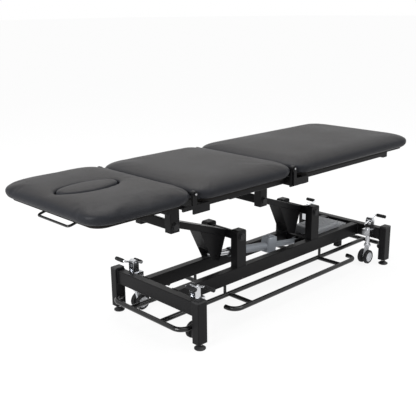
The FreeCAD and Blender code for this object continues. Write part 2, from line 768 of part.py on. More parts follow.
# Retractable castors at the four inner corners
sleeves = []
for end_name, sx in ends:
    for side_name, sy in sides:
        where = "_" + end_name + "_" + side_name
        x = sx * castor_x
        y = sy * castor_y
        sleeve = block(sx * crossbeam_inner, sx * (castor_x - stem_radius - sleeve_inner_wall),
                       y - sleeve_width / 2, y + sleeve_width / 2, sleeve_bottom, sleeve_top)
        axle_end = cheek_gap / 2 + cheek_wall + rocker_axle_out
        pivot = x + sx * rocker_x_offset
        wings = [pin_y(pivot, rocker_z, y - axle_end, y + axle_end, rocker_axle_radius)]
        for side in (-1, 1):
            y0 = y + side * cheek_gap / 2
            wing = block(pivot - cheek_length / 2, pivot + cheek_length / 2, y0, y0 + side * cheek_wall,
                         sleeve_top, rocker_z)
            wings.append(wing)
            wings.append(pin_y(pivot, rocker_z, y0, y0 + side * cheek_wall, rocker_hub_radius))
        sleeve = sleeve.fuse(wings).removeSplitter()
        stem_hole = rod(V(x, y, sleeve_bottom - cut_over), V(x, y, sleeve_top + cut_over),
                        stem_radius + running_fit)
        sleeves.append(sleeve.cut(stem_hole))

        stem = rod(V(x, y, stem_bottom), V(x, y, stem_top), stem_radius)
        flange_top = V(x, y, stem_bottom + stem_flange_height)
        flange = rod(V(x, y, stem_bottom), flange_top, stem_radius + stem_flange_rise)
        socket_top = stem_bottom + spindle_height + bore_end_gap
        socket = rod(V(x, y, stem_bottom - cut_over), V(x, y, socket_top), spindle_radius + running_fit)
        save("castor_stem" + where, [stem.fuse(flange).removeSplitter().cut(socket)])

        tilt = math.radians(rocker_tilt)
        high = V(pivot + sx * rocker_arm * math.cos(tilt), y, rocker_z + rocker_arm * math.sin(tilt))
        low = V(pivot - sx * rocker_arm * math.cos(tilt), y, rocker_z - rocker_arm * math.sin(tilt))
        hub_half = cheek_gap / 2 - rocker_side_gap
        hub = pin_y(pivot, rocker_z, y - hub_half, y + hub_half, rocker_hub_radius)
        reach = V(0, sy * rocker_reach, 0)
        bar = bent_rod([high + reach, high, low, low + reach], rocker_bend, rocker_rod_radius)
        hub_hole = pin_y(pivot, rocker_z, y - cheek_gap, y + cheek_gap, rocker_axle_radius + running_fit)
        rocker = hub.fuse(bar).removeSplitter().cut(hub_hole)
        grips = []
        for arm_end in (high, low):
            tip = arm_end + reach
            end_y = tip.y + sy * grip_tip
            start_y = end_y - sy * grip_length
            neck = grip_radius - grip_tip
            profile = [(0, start_y), (neck, start_y), (grip_radius, start_y + sy * grip_tip),
                       (grip_radius - grip_waist, (start_y + end_y) / 2),
                       (grip_radius, end_y - sy * grip_tip), (neck, end_y), (0, end_y)]
            grip = lathe_y(profile, arm_end.x, arm_end.z)
            grips.append(grip.cut(rocker))
        save("castor_rocker" + where, [rocker])
        save("castor_grips" + where, [max(g.Solids, key=lambda s: s.Volume) for g in grips])

        axle_x = x + sy * castor_trail
        axle_z = wheel_lift + wheel_radius
        disc_top = stem_bottom - side_gap
        disc = rod(V(x, y, disc_top - fork_disc_height), V(x, y, disc_top), fork_disc_radius)
        spindle = rod(V(x, y, disc_top - fork_overlap), V(x, y, stem_bottom + spindle_height), spindle_radius)
        web_top = disc_top - fork_overlap
        web = plate_xz([(x - fork_boss_radius, web_top), (x + fork_boss_radius, web_top),
                        (axle_x + fork_boss_radius, axle_z), (axle_x - fork_boss_radius, axle_z)],
                       y - fork_web / 2, y + fork_web / 2)
        boss = pin_y(axle_x, axle_z, y - fork_web / 2, y + fork_web / 2, fork_boss_radius)
        axle_half = fork_web / 2 + wheel_gap + wheel_width - wheel_cap_wall - axle_end_gap
        axle = pin_y(axle_x, axle_z, y - axle_half, y + axle_half, castor_axle_radius)
        save("castor_fork" + where, [disc.fuse([spindle, web, boss, axle]).removeSplitter()])
        wheels = []
        for side in (-1, 1):
            a = y + side * (fork_web / 2 + wheel_gap)
            b = a + side * wheel_width
            r0 = castor_axle_radius + running_fit
            blind = b - side * wheel_cap_wall
            profile = [(r0, a), (wheel_radius - wheel_edge, a), (wheel_radius, a + side * wheel_edge),
                       (wheel_radius, b - side * wheel_edge), (wheel_radius - wheel_edge, b),
                       (wheel_hub_radius, b),
                       (wheel_hub_radius - wheel_dish_step, b - side * wheel_hub_recess),
                       (wheel_dish_radius, b - side * wheel_hub_recess),
                       (wheel_cap_radius, b), (0, b), (0, blind), (r0, blind)]
            wheels.append(lathe_y(profile, axle_x, axle_z))
        save("castor_wheels" + where, wheels)
save("castor_sleeves", sleeves)

# Posts under the top frame, with the upper pivot bolts
hangers = []
upper_bolts = []
for pivot_x in (upper_front_x, upper_rear_x):
    for side_name, sy in sides:
        post = upright(pivot_x - hanger_x / 2, pivot_x + hanger_x / 2, sy * beam_inner_y, sy * beam_outer_y,
                       upper_pivot_z - hanger_below_pivot, frame_bottom, frame_corner)
        hole = pin_y(pivot_x, upper_pivot_z, sy * beam_inner_y, sy * beam_outer_y,
                     pivot_bolt_radius + bolt_fit)
        hangers.append(post.cut(hole))
        upper_bolts.append(pivot_bolt(pivot_x, upper_pivot_z, sy))
save("hanging_posts", hangers)
save("upper_pivot_bolts", upper_bolts)


def frame_cross(x0, half_y):
    return along_y(x0, x0 + frame_tube, -half_y, half_y, frame_bottom, frame_top, frame_corner)


def frame_rails(x0, x1):
    rails = []
    for side_name, sy in sides:
        rails.append(along_x(x0, x1, sy * (rail_outer_y - rail_width), sy * rail_outer_y,
                             frame_top - rail_height, frame_top, frame_corner))
    return rails


def strut_cheeks(x, y, z, x0, x1, top):
    # Two plates that take the strut's lower eye between two short pins
    plates = []
    for side in (-1, 1):
        y0 = y + side * strut_cheek_gap / 2
        y1 = y0 + side * strut_cheek_wall
        cheek = block(x0, x1, y0, y1, z - strut_cheek_half, top)
        stub_end = y + side * (strut_bush_width / 2 + open_pivot_gap)
        stub = pin_y(x, z, stub_end, y1 + side * pin_head_out, strut_pin_radius)
        plates.append(cheek.fuse(stub).removeSplitter())
    return plates


# Middle frame, carried on the hanging posts
mid_head_tube_x = upper_front_x - frame_tube / 2
mid_foot_tube_x = upper_rear_x - frame_tube / 2
strut_z = hinge_z - strut_drop
head_strut_x = head_hinge_x + head_strut_offset
foot_strut_x = foot_hinge_x + foot_strut_offset
mid_frame = [frame_cross(mid_head_tube_x, frame_half_width), frame_cross(mid_foot_tube_x, frame_half_width)]
mid_frame += frame_rails(mid_head_tube_x + frame_tube, mid_foot_tube_x)
mid_head_lug_end = mid_head_tube_x + frame_tube
mid_foot_lug_end = mid_foot_tube_x + frame_tube
mid_lugs = [hinge_lug(head_hinge_x, lug_y, mid_head_lug_end, frame_bottom, frame_tube - frame_corner, 1),
            hinge_lug(foot_hinge_x, lug_y, mid_foot_lug_end, frame_bottom, lug_foot_height, -1)]
mid_foot_web = block(mid_foot_tube_x, mid_foot_lug_end, lug_y, lug_y + lug_wall,
                     frame_bottom, frame_top - frame_corner)
mid_lugs[1] = mid_lugs[1].fuse(mid_foot_web).removeSplitter()
pin_hole = hinge_pin_radius + running_fit
for index, x in enumerate((head_hinge_x, foot_hinge_x)):
    hole = pin_y(x, hinge_z, lug_y - cut_over, lug_y + lug_wall + cut_over, pin_hole)
    mid_lugs[index] = mid_lugs[index].cut(hole)
mid_frame += mid_lugs + [mirrored(lug) for lug in mid_lugs]
mid_frame += strut_cheeks(head_strut_x, head_strut_y, strut_z, head_strut_x - strut_cheek_half,
                          mid_head_lug_end, frame_bottom)
mid_frame += strut_cheeks(foot_strut_x, 0, strut_z, mid_foot_tube_x,
                          foot_strut_x + strut_cheek_half, frame_bottom)
save("mid_frame", mid_frame)
mid_board = upright(mid_head_end + board_inset, mid_foot_end - board_inset, -table_half_width + board_inset,
                    table_half_width - board_inset, frame_top, cushion_bottom, board_corner)
save("mid_board", [mid_board])
save("mid_cushion", [cushion(mid_head_end, mid_foot_end, corner_joint, corner_joint)])


def swing_lugs(x, foot_end, foot_low, foot_height, side, tongue_y):
    # Outer hinge plates with the hinge pins made in one with them, and a tongue in to the frame
    lug = hinge_lug(x, swing_lug_y, foot_end, foot_low, foot_height, side)
    outer_y = swing_lug_y + lug_wall
    pin = pin_y(x, hinge_z, lug_y - bore_end_gap, outer_y, hinge_pin_radius)
    head = pin_y(x, hinge_z, outer_y, outer_y + hinge_head_height, hinge_head_radius)
    pieces = [pin, head]
    if tongue_y < swing_lug_y:
        tongue_start = foot_end - side * lug_tongue
        pieces.append(block(tongue_start, foot_end, tongue_y, outer_y,
                            frame_top - lug_foot_height, frame_top))
    lug = lug.fuse(pieces).removeSplitter()
    return [lug, mirrored(lug)]


def strut_mount(x, y, z, face_x):
    # Two ears on a frame tube and the pin between them
    low_x = min(face_x, x)
    ears = []
    for side in (-1, 1):
        y0 = y + side * (strut_eye_width / 2 + side_gap)
        y1 = y0 + side * strut_mount_wall
        ears.append(block(low_x, max(face_x, x), y0, y1, z - strut_eye_radius, z + strut_eye_radius))
        ears.append(pin_y(x, z, y0, y1, strut_eye_radius))
    half = strut_eye_width / 2 + side_gap + strut_mount_wall
    pin = pin_y(x, z, y - half, y + half, strut_pin_radius)
    return ears[0].fuse(ears[1:] + [pin]).removeSplitter()


# Head section
head_tube_x = head_hinge_x - swing_clear - frame_tube
head_outer_x = head_end_x + head_end_tube
head_low_z = frame_top - head_tube_height
head_frame = [along_y(head_tube_x, head_tube_x + frame_tube, -head_hinge_tube_y, head_hinge_tube_y,
                      head_low_z, frame_top, frame_corner),
              along_y(head_outer_x, head_outer_x + frame_tube, -head_rail_outer_y, head_rail_outer_y,
                      head_low_z, frame_top, frame_corner)]
for side_name, sy in sides:
    head_frame.append(along_x(head_outer_x + frame_tube, head_tube_x, sy * (head_rail_outer_y - rail_width),
                              sy * head_rail_outer_y, head_low_z, frame_top, frame_corner))
lug_inner_y = head_hinge_tube_y - rail_width
head_frame += swing_lugs(head_hinge_x, head_tube_x + frame_tube, frame_top - lug_side_height,
                         lug_side_height, -1, lug_inner_y)
head_mount_x = head_outer_x + frame_tube + strut_mount_reach
strut_top_z = hinge_z - strut_top_drop
head_frame.append(strut_mount(head_mount_x, head_strut_y, strut_top_z, head_outer_x + frame_tube))
for side in (-1, 1):
    wall_y = side * handle_width / 2
    x0 = head_outer_x - handle_lug_wall * 2
    slot_half = handle_rod_radius + handle_slot_gap
    for flank in (-1, 1):
        inner_y = wall_y + flank * slot_half
        head_frame.append(block(x0, head_outer_x, inner_y, inner_y + flank * handle_lug_wall,
                                head_low_z, frame_top - frame_corner))
save("head_frame", head_frame)
head_board = upright(head_end_x + board_inset, head_joint_end - board_inset, -table_half_width + board_inset,
                     table_half_width - board_inset, frame_top, cushion_bottom, board_corner)
ledge_length = plug_length - 2 * plug_ledge
ledge_width = plug_width - 2 * plug_ledge
board_hole = oval_block(ledge_length, ledge_width, frame_top - cut_over, cushion_bottom + cut_over)
save("head_board", [head_board.cut(board_hole)])
head_cushion = cushion(head_end_x, head_joint_end, corner_outer, corner_joint)
hole = oval_block(plug_length + 2 * plug_clearance, plug_width + 2 * plug_clearance,
                  cushion_bottom - cut_over, cushion_top + cut_over)
save("head_cushion", [head_cushion.cut(hole)])
plug_z = cushion_top + plug_proud
plug_rings = [oval(plug_length, plug_width, cushion_bottom),
              oval(plug_length, plug_width, plug_z - plug_crown - plug_round),
              oval(plug_length - plug_round, plug_width - plug_round, plug_z - plug_crown - plug_round / 4),
              oval(plug_length - plug_round * 2, plug_width - plug_round * 2, plug_z - plug_crown),
              oval(plug_length * plug_crown_share, plug_width * plug_crown_share, plug_z)]
save("face_plug", [Part.makeLoft(plug_rings, True, True)])

# Release handle: a bent rod that turns between two pairs of lugs
handle_z = head_low_z + (head_tube_height - frame_corner) / 2
handle_axis_x = head_outer_x - handle_lug_wall
left = -handle_width / 2
right = handle_width / 2
grip_x = head_end_x + handle_setback
grip_z = handle_z - handle_drop
route = [V(handle_axis_x, left, handle_z), V(grip_x, left, grip_z),
         V(grip_x, right, grip_z), V(handle_axis_x, right, handle_z)]
handle = bent_rod(route, handle_bend, handle_rod_radius)
trunnions = []
for wall_y in (left, right):
    trunnion_half = handle_rod_radius + handle_side_gap
    trunnions.append(pin_y(handle_axis_x, handle_z, wall_y - trunnion_half, wall_y + trunnion_half,
                           handle_rod_radius))
save("release_handle", [handle.fuse(trunnions).removeSplitter()])

# Foot section
foot_tube_x = foot_hinge_x + foot_swing_clear
foot_outer_x = foot_end_x - foot_end_tube - frame_tube
foot_mid_x = foot_mid_tube_x - frame_tube / 2
foot_frame = [frame_cross(foot_tube_x, swing_lug_y), frame_cross(foot_outer_x, rail_outer_y)]
inner_half = rail_outer_y - rail_width
foot_frame.append(frame_cross(foot_mid_x, inner_half))
foot_frame += frame_rails(foot_tube_x + frame_tube, foot_outer_x)
foot_frame += swing_lugs(foot_hinge_x, foot_tube_x + frame_tube, frame_bottom + frame_corner,
                         frame_tube - 2 * frame_corner, 1, swing_lug_y)
foot_mount_x = foot_mid_x - strut_mount_reach
foot_frame.append(strut_mount(foot_mount_x, 0, strut_top_z, foot_mid_x))
save("foot_frame", foot_frame)
foot_board = upright(foot_joint_end + board_inset, foot_end_x - board_inset, -table_half_width + board_inset,
                     table_half_width - board_inset, frame_top, cushion_bottom, board_corner)
save("foot_board", [foot_board])
save("foot_cushion", [cushion(foot_joint_end, foot_end_x, corner_joint, corner_outer)])


def gas_strut(low, high, cover):
    # Cylinder hinged at the upper mount and a bare rod down to the lower eye
    axis = (low - high).normalize()
    across = V(0, strut_eye_width / 2, 0)
    barrel = rod(high + axis * (strut_eye_radius + strut_neck), high + axis * cover, strut_radius)
    neck = rod(high, high + axis * (strut_eye_radius + strut_neck + cut_over), strut_rod_radius)
    top_eye = rod(high - across, high + across, strut_eye_radius)
    pin_bore = rod(high - across, high + across, strut_pin_radius + running_fit)
    bore_start = cover - strut_rod_hidden - strut_bore_spare
    bore = rod(high + axis * bore_start, high + axis * (cover + cut_over), strut_rod_radius + running_fit)
    cylinder = barrel.fuse([neck, top_eye]).removeSplitter().cut(bore).cut(pin_bore)
    piston = rod(high + axis * (cover - strut_rod_hidden), low, strut_rod_radius)
    low_eye = rod(low - across, low + across, strut_eye_radius)
    half_bush = V(0, strut_bush_width / 2, 0)
    low_bush = rod(low - half_bush, low + half_bush, strut_pin_radius)
    return cylinder, piston.fuse([low_eye, low_bush]).removeSplitter()


head_low = V(head_strut_x, head_strut_y, strut_z)
head_high = V(head_mount_x, head_strut_y, strut_top_z)
head_cylinder, head_piston = gas_strut(head_low, head_high, head_strut_cover)
save("head_strut", [head_cylinder])
save("head_strut_rod", [head_piston])
foot_low = V(foot_strut_x, 0, strut_z)
foot_high = V(foot_mount_x, 0, strut_top_z)
foot_cylinder, foot_piston = gas_strut(foot_low, foot_high, foot_strut_cover)
save("foot_strut", [foot_cylinder])
save("foot_strut_rod", [foot_piston])
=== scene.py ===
import json
import math

import bpy
from mathutils import Matrix, Vector


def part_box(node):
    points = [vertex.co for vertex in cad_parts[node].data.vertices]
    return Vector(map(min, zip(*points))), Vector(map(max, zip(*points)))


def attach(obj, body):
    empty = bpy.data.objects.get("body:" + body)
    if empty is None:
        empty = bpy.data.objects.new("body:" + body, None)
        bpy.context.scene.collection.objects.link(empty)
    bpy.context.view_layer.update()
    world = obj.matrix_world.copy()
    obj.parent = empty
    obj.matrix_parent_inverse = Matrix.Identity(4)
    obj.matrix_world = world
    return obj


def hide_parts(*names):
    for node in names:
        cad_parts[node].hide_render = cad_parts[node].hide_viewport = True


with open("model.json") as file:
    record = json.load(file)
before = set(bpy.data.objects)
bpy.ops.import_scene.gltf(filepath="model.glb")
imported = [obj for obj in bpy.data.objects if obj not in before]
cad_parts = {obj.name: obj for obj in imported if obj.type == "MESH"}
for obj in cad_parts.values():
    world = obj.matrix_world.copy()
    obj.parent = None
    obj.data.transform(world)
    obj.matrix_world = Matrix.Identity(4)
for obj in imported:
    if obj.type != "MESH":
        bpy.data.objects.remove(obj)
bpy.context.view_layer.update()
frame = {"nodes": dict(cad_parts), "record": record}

bl_info = {
    "name": "Treatment Table",
    "version": (1, 0, 0),
    "blender": (4, 5, 0),
    "location": "View3D > Sidebar > Table",
    "description": "Dresses a sectioned treatment table: cushions, finishes, fasteners and a studio stage",
    "category": "Object",
}

# Corners of the base, and the nodes whose coat is polished by hands and feet

WHERES = ("head_near", "head_far", "foot_near", "foot_far")
HANDLED = ("control_bar", "release_handle")
TOP = Vector((0, 0, 1))
WHITE = (1.0, 1.0, 1.0, 1.0)
BLACK = (0.0, 0.0, 0.0, 1.0)
EVEN = (1.0, 1.0, 1.0)


# Tones that the finishes blend toward

# Light grey for dust and rubs; on upward faces it is also a painted highlight for the light the tops catch
DUST_AND_SHEEN_GREY = (0.12, 0.115, 0.11, 1.0)
SCUFF_GREY = (0.075, 0.074, 0.072, 1.0)
# Gain for the vinyl's painted sheen: upward faces lighter and warmer
SHEEN_WARMTH = (1.75, 1.55, 1.25)


# Shader maths


class Value:
    """A number from a node that takes part in ordinary expressions."""

    def __init__(self, recipe, socket):
        self.recipe = recipe
        self.socket = socket

    def math(self, operation, first, second):
        node = self.recipe.node("ShaderNodeMath", {"operation": operation}, {0: first, 1: second})
        return Value(self.recipe, node.outputs[0])

    def __add__(self, other):
        return self.math("ADD", self, other)

    def __radd__(self, other):
        return self.math("ADD", other, self)

    def __sub__(self, other):
        return self.math("SUBTRACT", self, other)

    def __rsub__(self, other):
        return self.math("SUBTRACT", other, self)

    def __mul__(self, other):
        return self.math("MULTIPLY", self, other)

    def __rmul__(self, other):
        return self.math("MULTIPLY", other, self)


class Recipe:
    """The nodes of a finish, or of the world, under construction."""

    def __init__(self, owner, shader="Principled BSDF"):
        owner.use_nodes = True
        self.owner = owner
        self.tree = owner.node_tree
        self.shader = self.tree.nodes[shader]

    def node(self, kind, settings, sockets):
        made = self.tree.nodes.new(kind)
        for key, setting in settings.items():
            if key == "stops":
                ramp = made.color_ramp
                while len(ramp.elements) < len(setting):
                    ramp.elements.new(1.0)
                for element, (place, colour) in zip(ramp.elements, setting):
                    element.position = place
                    element.color = colour
            else:
                setattr(made, key, setting)
        for key, value in sockets.items():
            self.feed(made.inputs[key], value)
        return made

    def feed(self, socket, value):
        if isinstance(value, Value):
            self.tree.links.new(value.socket, socket)
        elif isinstance(value, bpy.types.NodeSocket):
            self.tree.links.new(value, socket)
        else:
            socket.default_value = value

    def put(self, name, value):
        self.feed(self.shader.inputs[name], value)

    def place(self, stretch=EVEN):
        coords = self.node("ShaderNodeTexCoord", {}, {})
        sockets = {"Vector": coords.outputs["Object"], "Scale": stretch}
        return self.node("ShaderNodeMapping", {}, sockets).outputs["Vector"]

    def noise(self, scale, detail=3.0, stretch=EVEN):
        sockets = {"Vector": self.place(stretch), "Scale": scale, "Detail": detail}
        return Value(self, self.node("ShaderNodeTexNoise", {}, sockets).outputs["Fac"])

    def cells(self, scale):
        sockets = {"Vector": self.place(), "Scale": scale}
        made = self.node("ShaderNodeTexVoronoi", {"feature": "DISTANCE_TO_EDGE"}, sockets)
        return Value(self, made.outputs["Distance"])

    def bands(self, scale, distortion):
        sockets = {"Vector": self.place(), "Scale": scale, "Distortion": distortion}
        made = self.node("ShaderNodeTexWave", {"bands_direction": "Z"}, sockets)
        return Value(self, made.outputs["Fac"])

    def ramp(self, value, low, high):
        made = self.node("ShaderNodeValToRGB", {"stops": [(low, BLACK), (high, WHITE)]}, {"Fac": value})
        return Value(self, made.outputs["Color"])

    def blend(self, factor, first, second):
        made = self.node("ShaderNodeMix", {"data_type": "RGBA"}, {0: factor, 6: first, 7: second})
        return made.outputs[2]

    def seen(self):
        """1 for rays that show the background: camera, glossy and transmission rays."""
        rays = self.node("ShaderNodeLightPath", {}, {})
        camera, glossy, through = (Value(self, rays.outputs["Is " + kind + " Ray"])
                                   for kind in ("Camera", "Glossy", "Transmission"))
        return camera.math("MAXIMUM", camera.math("MAXIMUM", camera, glossy), through)

    def facing_up(self):
        geometry = self.node("ShaderNodeNewGeometry", {}, {})
        split = self.node("ShaderNodeSeparateXYZ", {}, {0: geometry.outputs["Normal"]})
        return Value(self, split.outputs["Z"])

    def relief(self, height, strength, depth):
        sockets = {"Height": height, "Strength": strength, "Distance": depth}
        self.put("Normal", self.node("ShaderNodeBump", {}, sockets).outputs["Normal"])


def shade(colour, factor):
    """A colour made darker or lighter."""
    return tuple(min(1.0, c * factor) for c in colour[:3]) + (1.0,)


def powder_coat(name, colour, ripple=0.0, rough=0.3, shine=0.12):
    """Powder coat: fine orange peel, faint dust on upward faces that is also a painted highlight, a few dull
    rubs.
    """
    coat = Recipe(bpy.data.materials.new(name))
    peel = coat.noise(620.0, detail=2.0)
    drift = coat.noise(9.0, detail=4.0)
    rub = coat.ramp(coat.noise(46.0, detail=5.0, stretch=(1.0, 1.0, 0.4)), 0.62, 0.78)
    # Dust and painted highlight: faces turned up blend a little toward light grey, in drifting patches
    dust_and_sheen = coat.ramp(coat.facing_up(), 0.75, 1.0) * coat.ramp(drift, 0.3, 0.8)
    tone = coat.blend(drift, shade(colour, 0.8), shade(colour, 1.3))
    tone = coat.blend(dust_and_sheen * 0.1 + rub * 0.03, tone, DUST_AND_SHEEN_GREY)
    coat.put("Base Color", tone)
    coat.put("Roughness", rough + 0.1 * drift + 0.14 * rub + 0.08 * dust_and_sheen)
    surface = peel + 0.4 * drift
    if ripple:
        surface = surface + ripple * coat.noise(230.0, detail=1.0)
    coat.relief(surface, strength=0.16, depth=0.00025)
    coat.put("Specular IOR Level", shine)
    return coat.owner


def upholstery(name, colour):
    """Coated vinyl: pebble grain, soft creases, and a painted warm sheen where it faces up."""
    skin = Recipe(bpy.data.materials.new(name))
    pebble = skin.cells(520.0)
    fine = skin.noise(1500.0, detail=2.0)
    crease = skin.noise(14.0, detail=6.0, stretch=(1.0, 0.6, 1.0))
    cloud = skin.noise(3.2)
    # Painted sheen: faces turned up are lightened and warmed, more in cloudy patches, for the light they
    # catch
    up = skin.ramp(skin.facing_up(), 0.6, 1.0)
    sheen_patches = up * skin.ramp(cloud, 0.25, 0.75)
    painted_sheen = tuple(part * gain for part, gain in zip(colour[:3], SHEEN_WARMTH)) + (1.0,)
    tone = skin.blend(cloud, shade(colour, 0.85), shade(colour, 1.15))
    tone = skin.blend(up * 0.55 + sheen_patches * 0.45, tone, painted_sheen)
    grain = skin.ramp(pebble, 0.0, 0.09)
    tone = skin.blend(grain * 0.75 + 0.25, shade(colour, 0.6), tone)
    skin.put("Base Color", tone)
    skin.put("Roughness", 0.35 + 0.1 * cloud + 0.06 * sheen_patches + 0.05 * fine)
    skin.relief(0.7 * grain + 0.25 * fine + 1.6 * crease, strength=0.2, depth=0.0006)
    skin.put("Specular IOR Level", 0.09)
    return skin.owner


def bright_metal(name, colour, rough, stretch, pits):
    """Plated or ground metal with drawn lines along one direction and a few dull spots."""
    metal = Recipe(bpy.data.materials.new(name))
    lines = metal.noise(900.0, detail=2.0, stretch=stretch)
    haze = metal.noise(24.0, detail=4.0)
    spot = metal.ramp(metal.noise(140.0), 0.66, 0.8) * pits
    tone = metal.blend(haze * 0.35 + spot * 0.4, shade(colour, 1.0), shade(colour, 0.62))
    metal.put("Base Color", tone)
    metal.put("Metallic", 1.0 - 0.25 * spot)
    metal.put("Roughness", rough + 0.09 * haze + 0.08 * lines + 0.25 * spot)
    metal.relief(lines, strength=0.05, depth=0.0001)
    return metal.owner


def moulded(name, colour, rough, grit):
    """Moulded plastic: spark-eroded texture, slight flow marks and handling shine."""
    plastic = Recipe(bpy.data.materials.new(name))
    spark = plastic.noise(1100.0, detail=2.0)
    flow = plastic.noise(11.0, detail=5.0, stretch=(1.0, 1.0, 2.5))
    plastic.put("Base Color", plastic.blend(flow, shade(colour, 0.9), shade(colour, 1.1)))
    plastic.put("Roughness", rough + 0.12 * flow + 0.06 * spark)
    plastic.relief(spark + 0.3 * flow, strength=grit, depth=0.0002)
    plastic.put("Specular IOR Level", 0.3)
    return plastic.owner


def tyre_rubber(name, colour):
    """Matt rubber with a greyed tread and fine pores."""
    rubber = Recipe(bpy.data.materials.new(name))
    pores = rubber.noise(1300.0)
    scuff = rubber.ramp(rubber.noise(85.0, detail=5.0), 0.5, 0.75)
    rubber.put("Base Color", rubber.blend(scuff * 0.5, shade(colour, 1.0), SCUFF_GREY))
    rubber.put("Roughness", 0.62 + 0.2 * scuff + 0.08 * pores)
    rubber.relief(pores + 0.5 * scuff, strength=0.25, depth=0.0003)
    rubber.put("Specular IOR Level", 0.2)
    return rubber.owner


def layered_ply(name, colour):
    """Black-stained ply: long grain on the faces, thin dark glue lines round the edges."""
    ply = Recipe(bpy.data.materials.new(name))
    grain = ply.noise(38.0, detail=6.0, stretch=(0.12, 1.6, 1.0))
    fibre = ply.noise(420.0, stretch=(0.05, 1.0, 1.0))
    lines = ply.ramp(ply.bands(105.0, distortion=0.4), 0.35, 0.6)
    edge = 1.0 - ply.ramp(ply.facing_up() * ply.facing_up(), 0.2, 0.6)
    tone = ply.blend(grain, shade(colour, 0.72), shade(colour, 1.2))
    tone = ply.blend(edge * (1.0 - lines) * 0.7, tone, shade(colour, 0.35))
    ply.put("Base Color", tone)
    ply.put("Roughness", 0.6 + 0.15 * fibre)
    ply.relief(fibre + 0.6 * grain, strength=0.2, depth=0.0003)
    ply.put("Specular IOR Level", 0.1)
    return ply.owner


# Settings


def colour_property(label, words, default):
    return bpy.props.FloatVectorProperty(name=label, description=words, default=default, size=4, min=0.0,
                                         max=1.0, subtype="COLOR")


def length_property(label, words, default):
    return bpy.props.FloatProperty(name=label, description=words, default=default, min=0.0, unit="LENGTH",
                                   subtype="DISTANCE")


def angle_property(label, words, default):
    return bpy.props.FloatProperty(name=label, description=words, default=default, subtype="ANGLE",
                                   unit="ROTATION")


class TableFinishes(bpy.types.PropertyGroup):
    """Colours of the table's finishes."""

    frame: colour_property("Frame", "Powder coat of the steel frame", (0.0055, 0.0054, 0.0059, 1.0))
    vinyl: colour_property("Vinyl", "Upholstery of the cushions", (0.0135, 0.0142, 0.0170, 1.0))
    ply: colour_property("Ply", "Stained boards under the cushions", (0.012, 0.0105, 0.0095, 1.0))
    chrome: colour_property("Chrome", "Castor rockers, stems and sleeves", (0.62, 0.63, 0.65, 1.0))
    zinc: colour_property("Zinc", "Bolts and nuts", (0.42, 0.42, 0.43, 1.0))
    rod: colour_property("Rod", "Push rods of actuator and struts", (0.66, 0.67, 0.69, 1.0))
    rubber: colour_property("Rubber", "Grips, tyres and foot pads", (0.011, 0.011, 0.012, 1.0))
    nylon: colour_property("Nylon", "Caps, glands and bolt covers", (0.011, 0.011, 0.012, 1.0))
    hub: colour_property("Hub", "Castor hubs and forks", (0.48, 0.49, 0.51, 1.0))
    motor: colour_property("Motor", "Actuator housing", (0.32, 0.345, 0.38, 1.0))
    case: colour_property("Case", "Control box", (0.3, 0.31, 0.325, 1.0))


class TableSizes(bpy.types.PropertyGroup):
    """Sizes of the upholstery and the small parts."""

    weave: length_property("Pad mesh", "Spacing of the points that the pads are inflated with", 0.0075)
    swell: length_property("Swell", "Most that a pad's skin may move when it is inflated", 0.008)
    undersize: length_property("Undersize", "How much lower a pad starts than its finished height", 0.005)
    allowance: length_property("Allowance", "How much wider a pad starts, for what smoothing draws in", 0.004)
    corner_outer: length_property("Outer corners", "Radius of a pad's corners at the table's ends", 0.085)
    corner_joint: length_property("Joint corners", "Radius of a pad's corners at the hinges", 0.08)
    under_round: length_property("Under round", "How far a pad's lower edge is drawn in", 0.020)
    under_height: length_property("Under height", "Height of a pad's widest line above its board", 0.028)
    roll_width: length_property("Roll width", "How far the pillow roll reaches in from a pad's edge", 0.095)
    groove: length_property("Groove", "Opening between the plug and the pad around it", 0.004)
    bead: length_property("Weld bead", "How far a weld stands proud of its tube", 0.0028)
    case_length: length_property("Case length", "Length of the control box without the supply block", 0.215)
    tube_radius: length_property("Tube radius", "Radius of the actuator's outer tube", 0.020)
    tube_end: length_property("Tube end", "From the actuator's rear pivot to the mouth of its tube", 0.505)
    rod_radius: length_property("Rod radius", "Radius of the actuator's push rod", 0.012)
    strut_rod_radius: length_property("Strut rod radius", "Radius of the gas struts' rods", 0.005)
    motor_middle: length_property("Motor middle", "From the actuator's pivot to its motor's middle", 0.212)
    motor_above: length_property("Motor top", "Top of the motor above the actuator's line", 0.048)
    strut_radius: length_property("Strut radius", "Radius of the gas struts' cylinders", 0.011)
    head_strut_cover: length_property("Head strut", "From the head strut's upper eye to its mouth", 0.190)
    foot_strut_cover: length_property("Foot strut", "From the foot strut's upper eye to its mouth", 0.205)
    hex_radius: length_property("Hex radius", "Corner radius of the pivot bolt heads", 0.0165)
    washer_radius: length_property("Washer radius", "Radius of the washers under the bolt heads", 0.0195)
    nut_radius: length_property("Nut radius", "Corner radius of the lock nuts on the levelling feet", 0.0125)


class TableStage(bpy.types.PropertyGroup):
    """Camera, light and floor."""

    lens: bpy.props.FloatProperty(name="Lens", description="Focal length on a 36 mm sensor", default=59.82,
                                  unit="CAMERA")
    yaw: angle_property("Yaw", "Viewing direction from +X toward +Y", 0.8035)
    pitch: angle_property("Pitch", "Downward tilt", 0.2835)
    roll: angle_property("Roll", "Turn about the line of sight", -0.011)
    place: bpy.props.FloatVectorProperty(name="Place", description="Camera from the middle of the base",
                                         default=(-2.4645, -2.170, 1.3644), subtype="TRANSLATION",
                                         unit="LENGTH")
    floor: colour_property("Floor", "Colour of the floor", (0.93, 0.93, 0.93, 1.0))


# Modelling helpers, with their tolerances and steps

SAME = 1e-9
MERGE = 1e-6
NEAR_EDGE = 0.999
CORNER_SEGMENTS = 9
UNDER_STEPS = 6
ROLL_STEPS = 10
FLAT_BAND = 0.002
PINNED_BAND = 0.006
CLOTH_FRAMES = 20


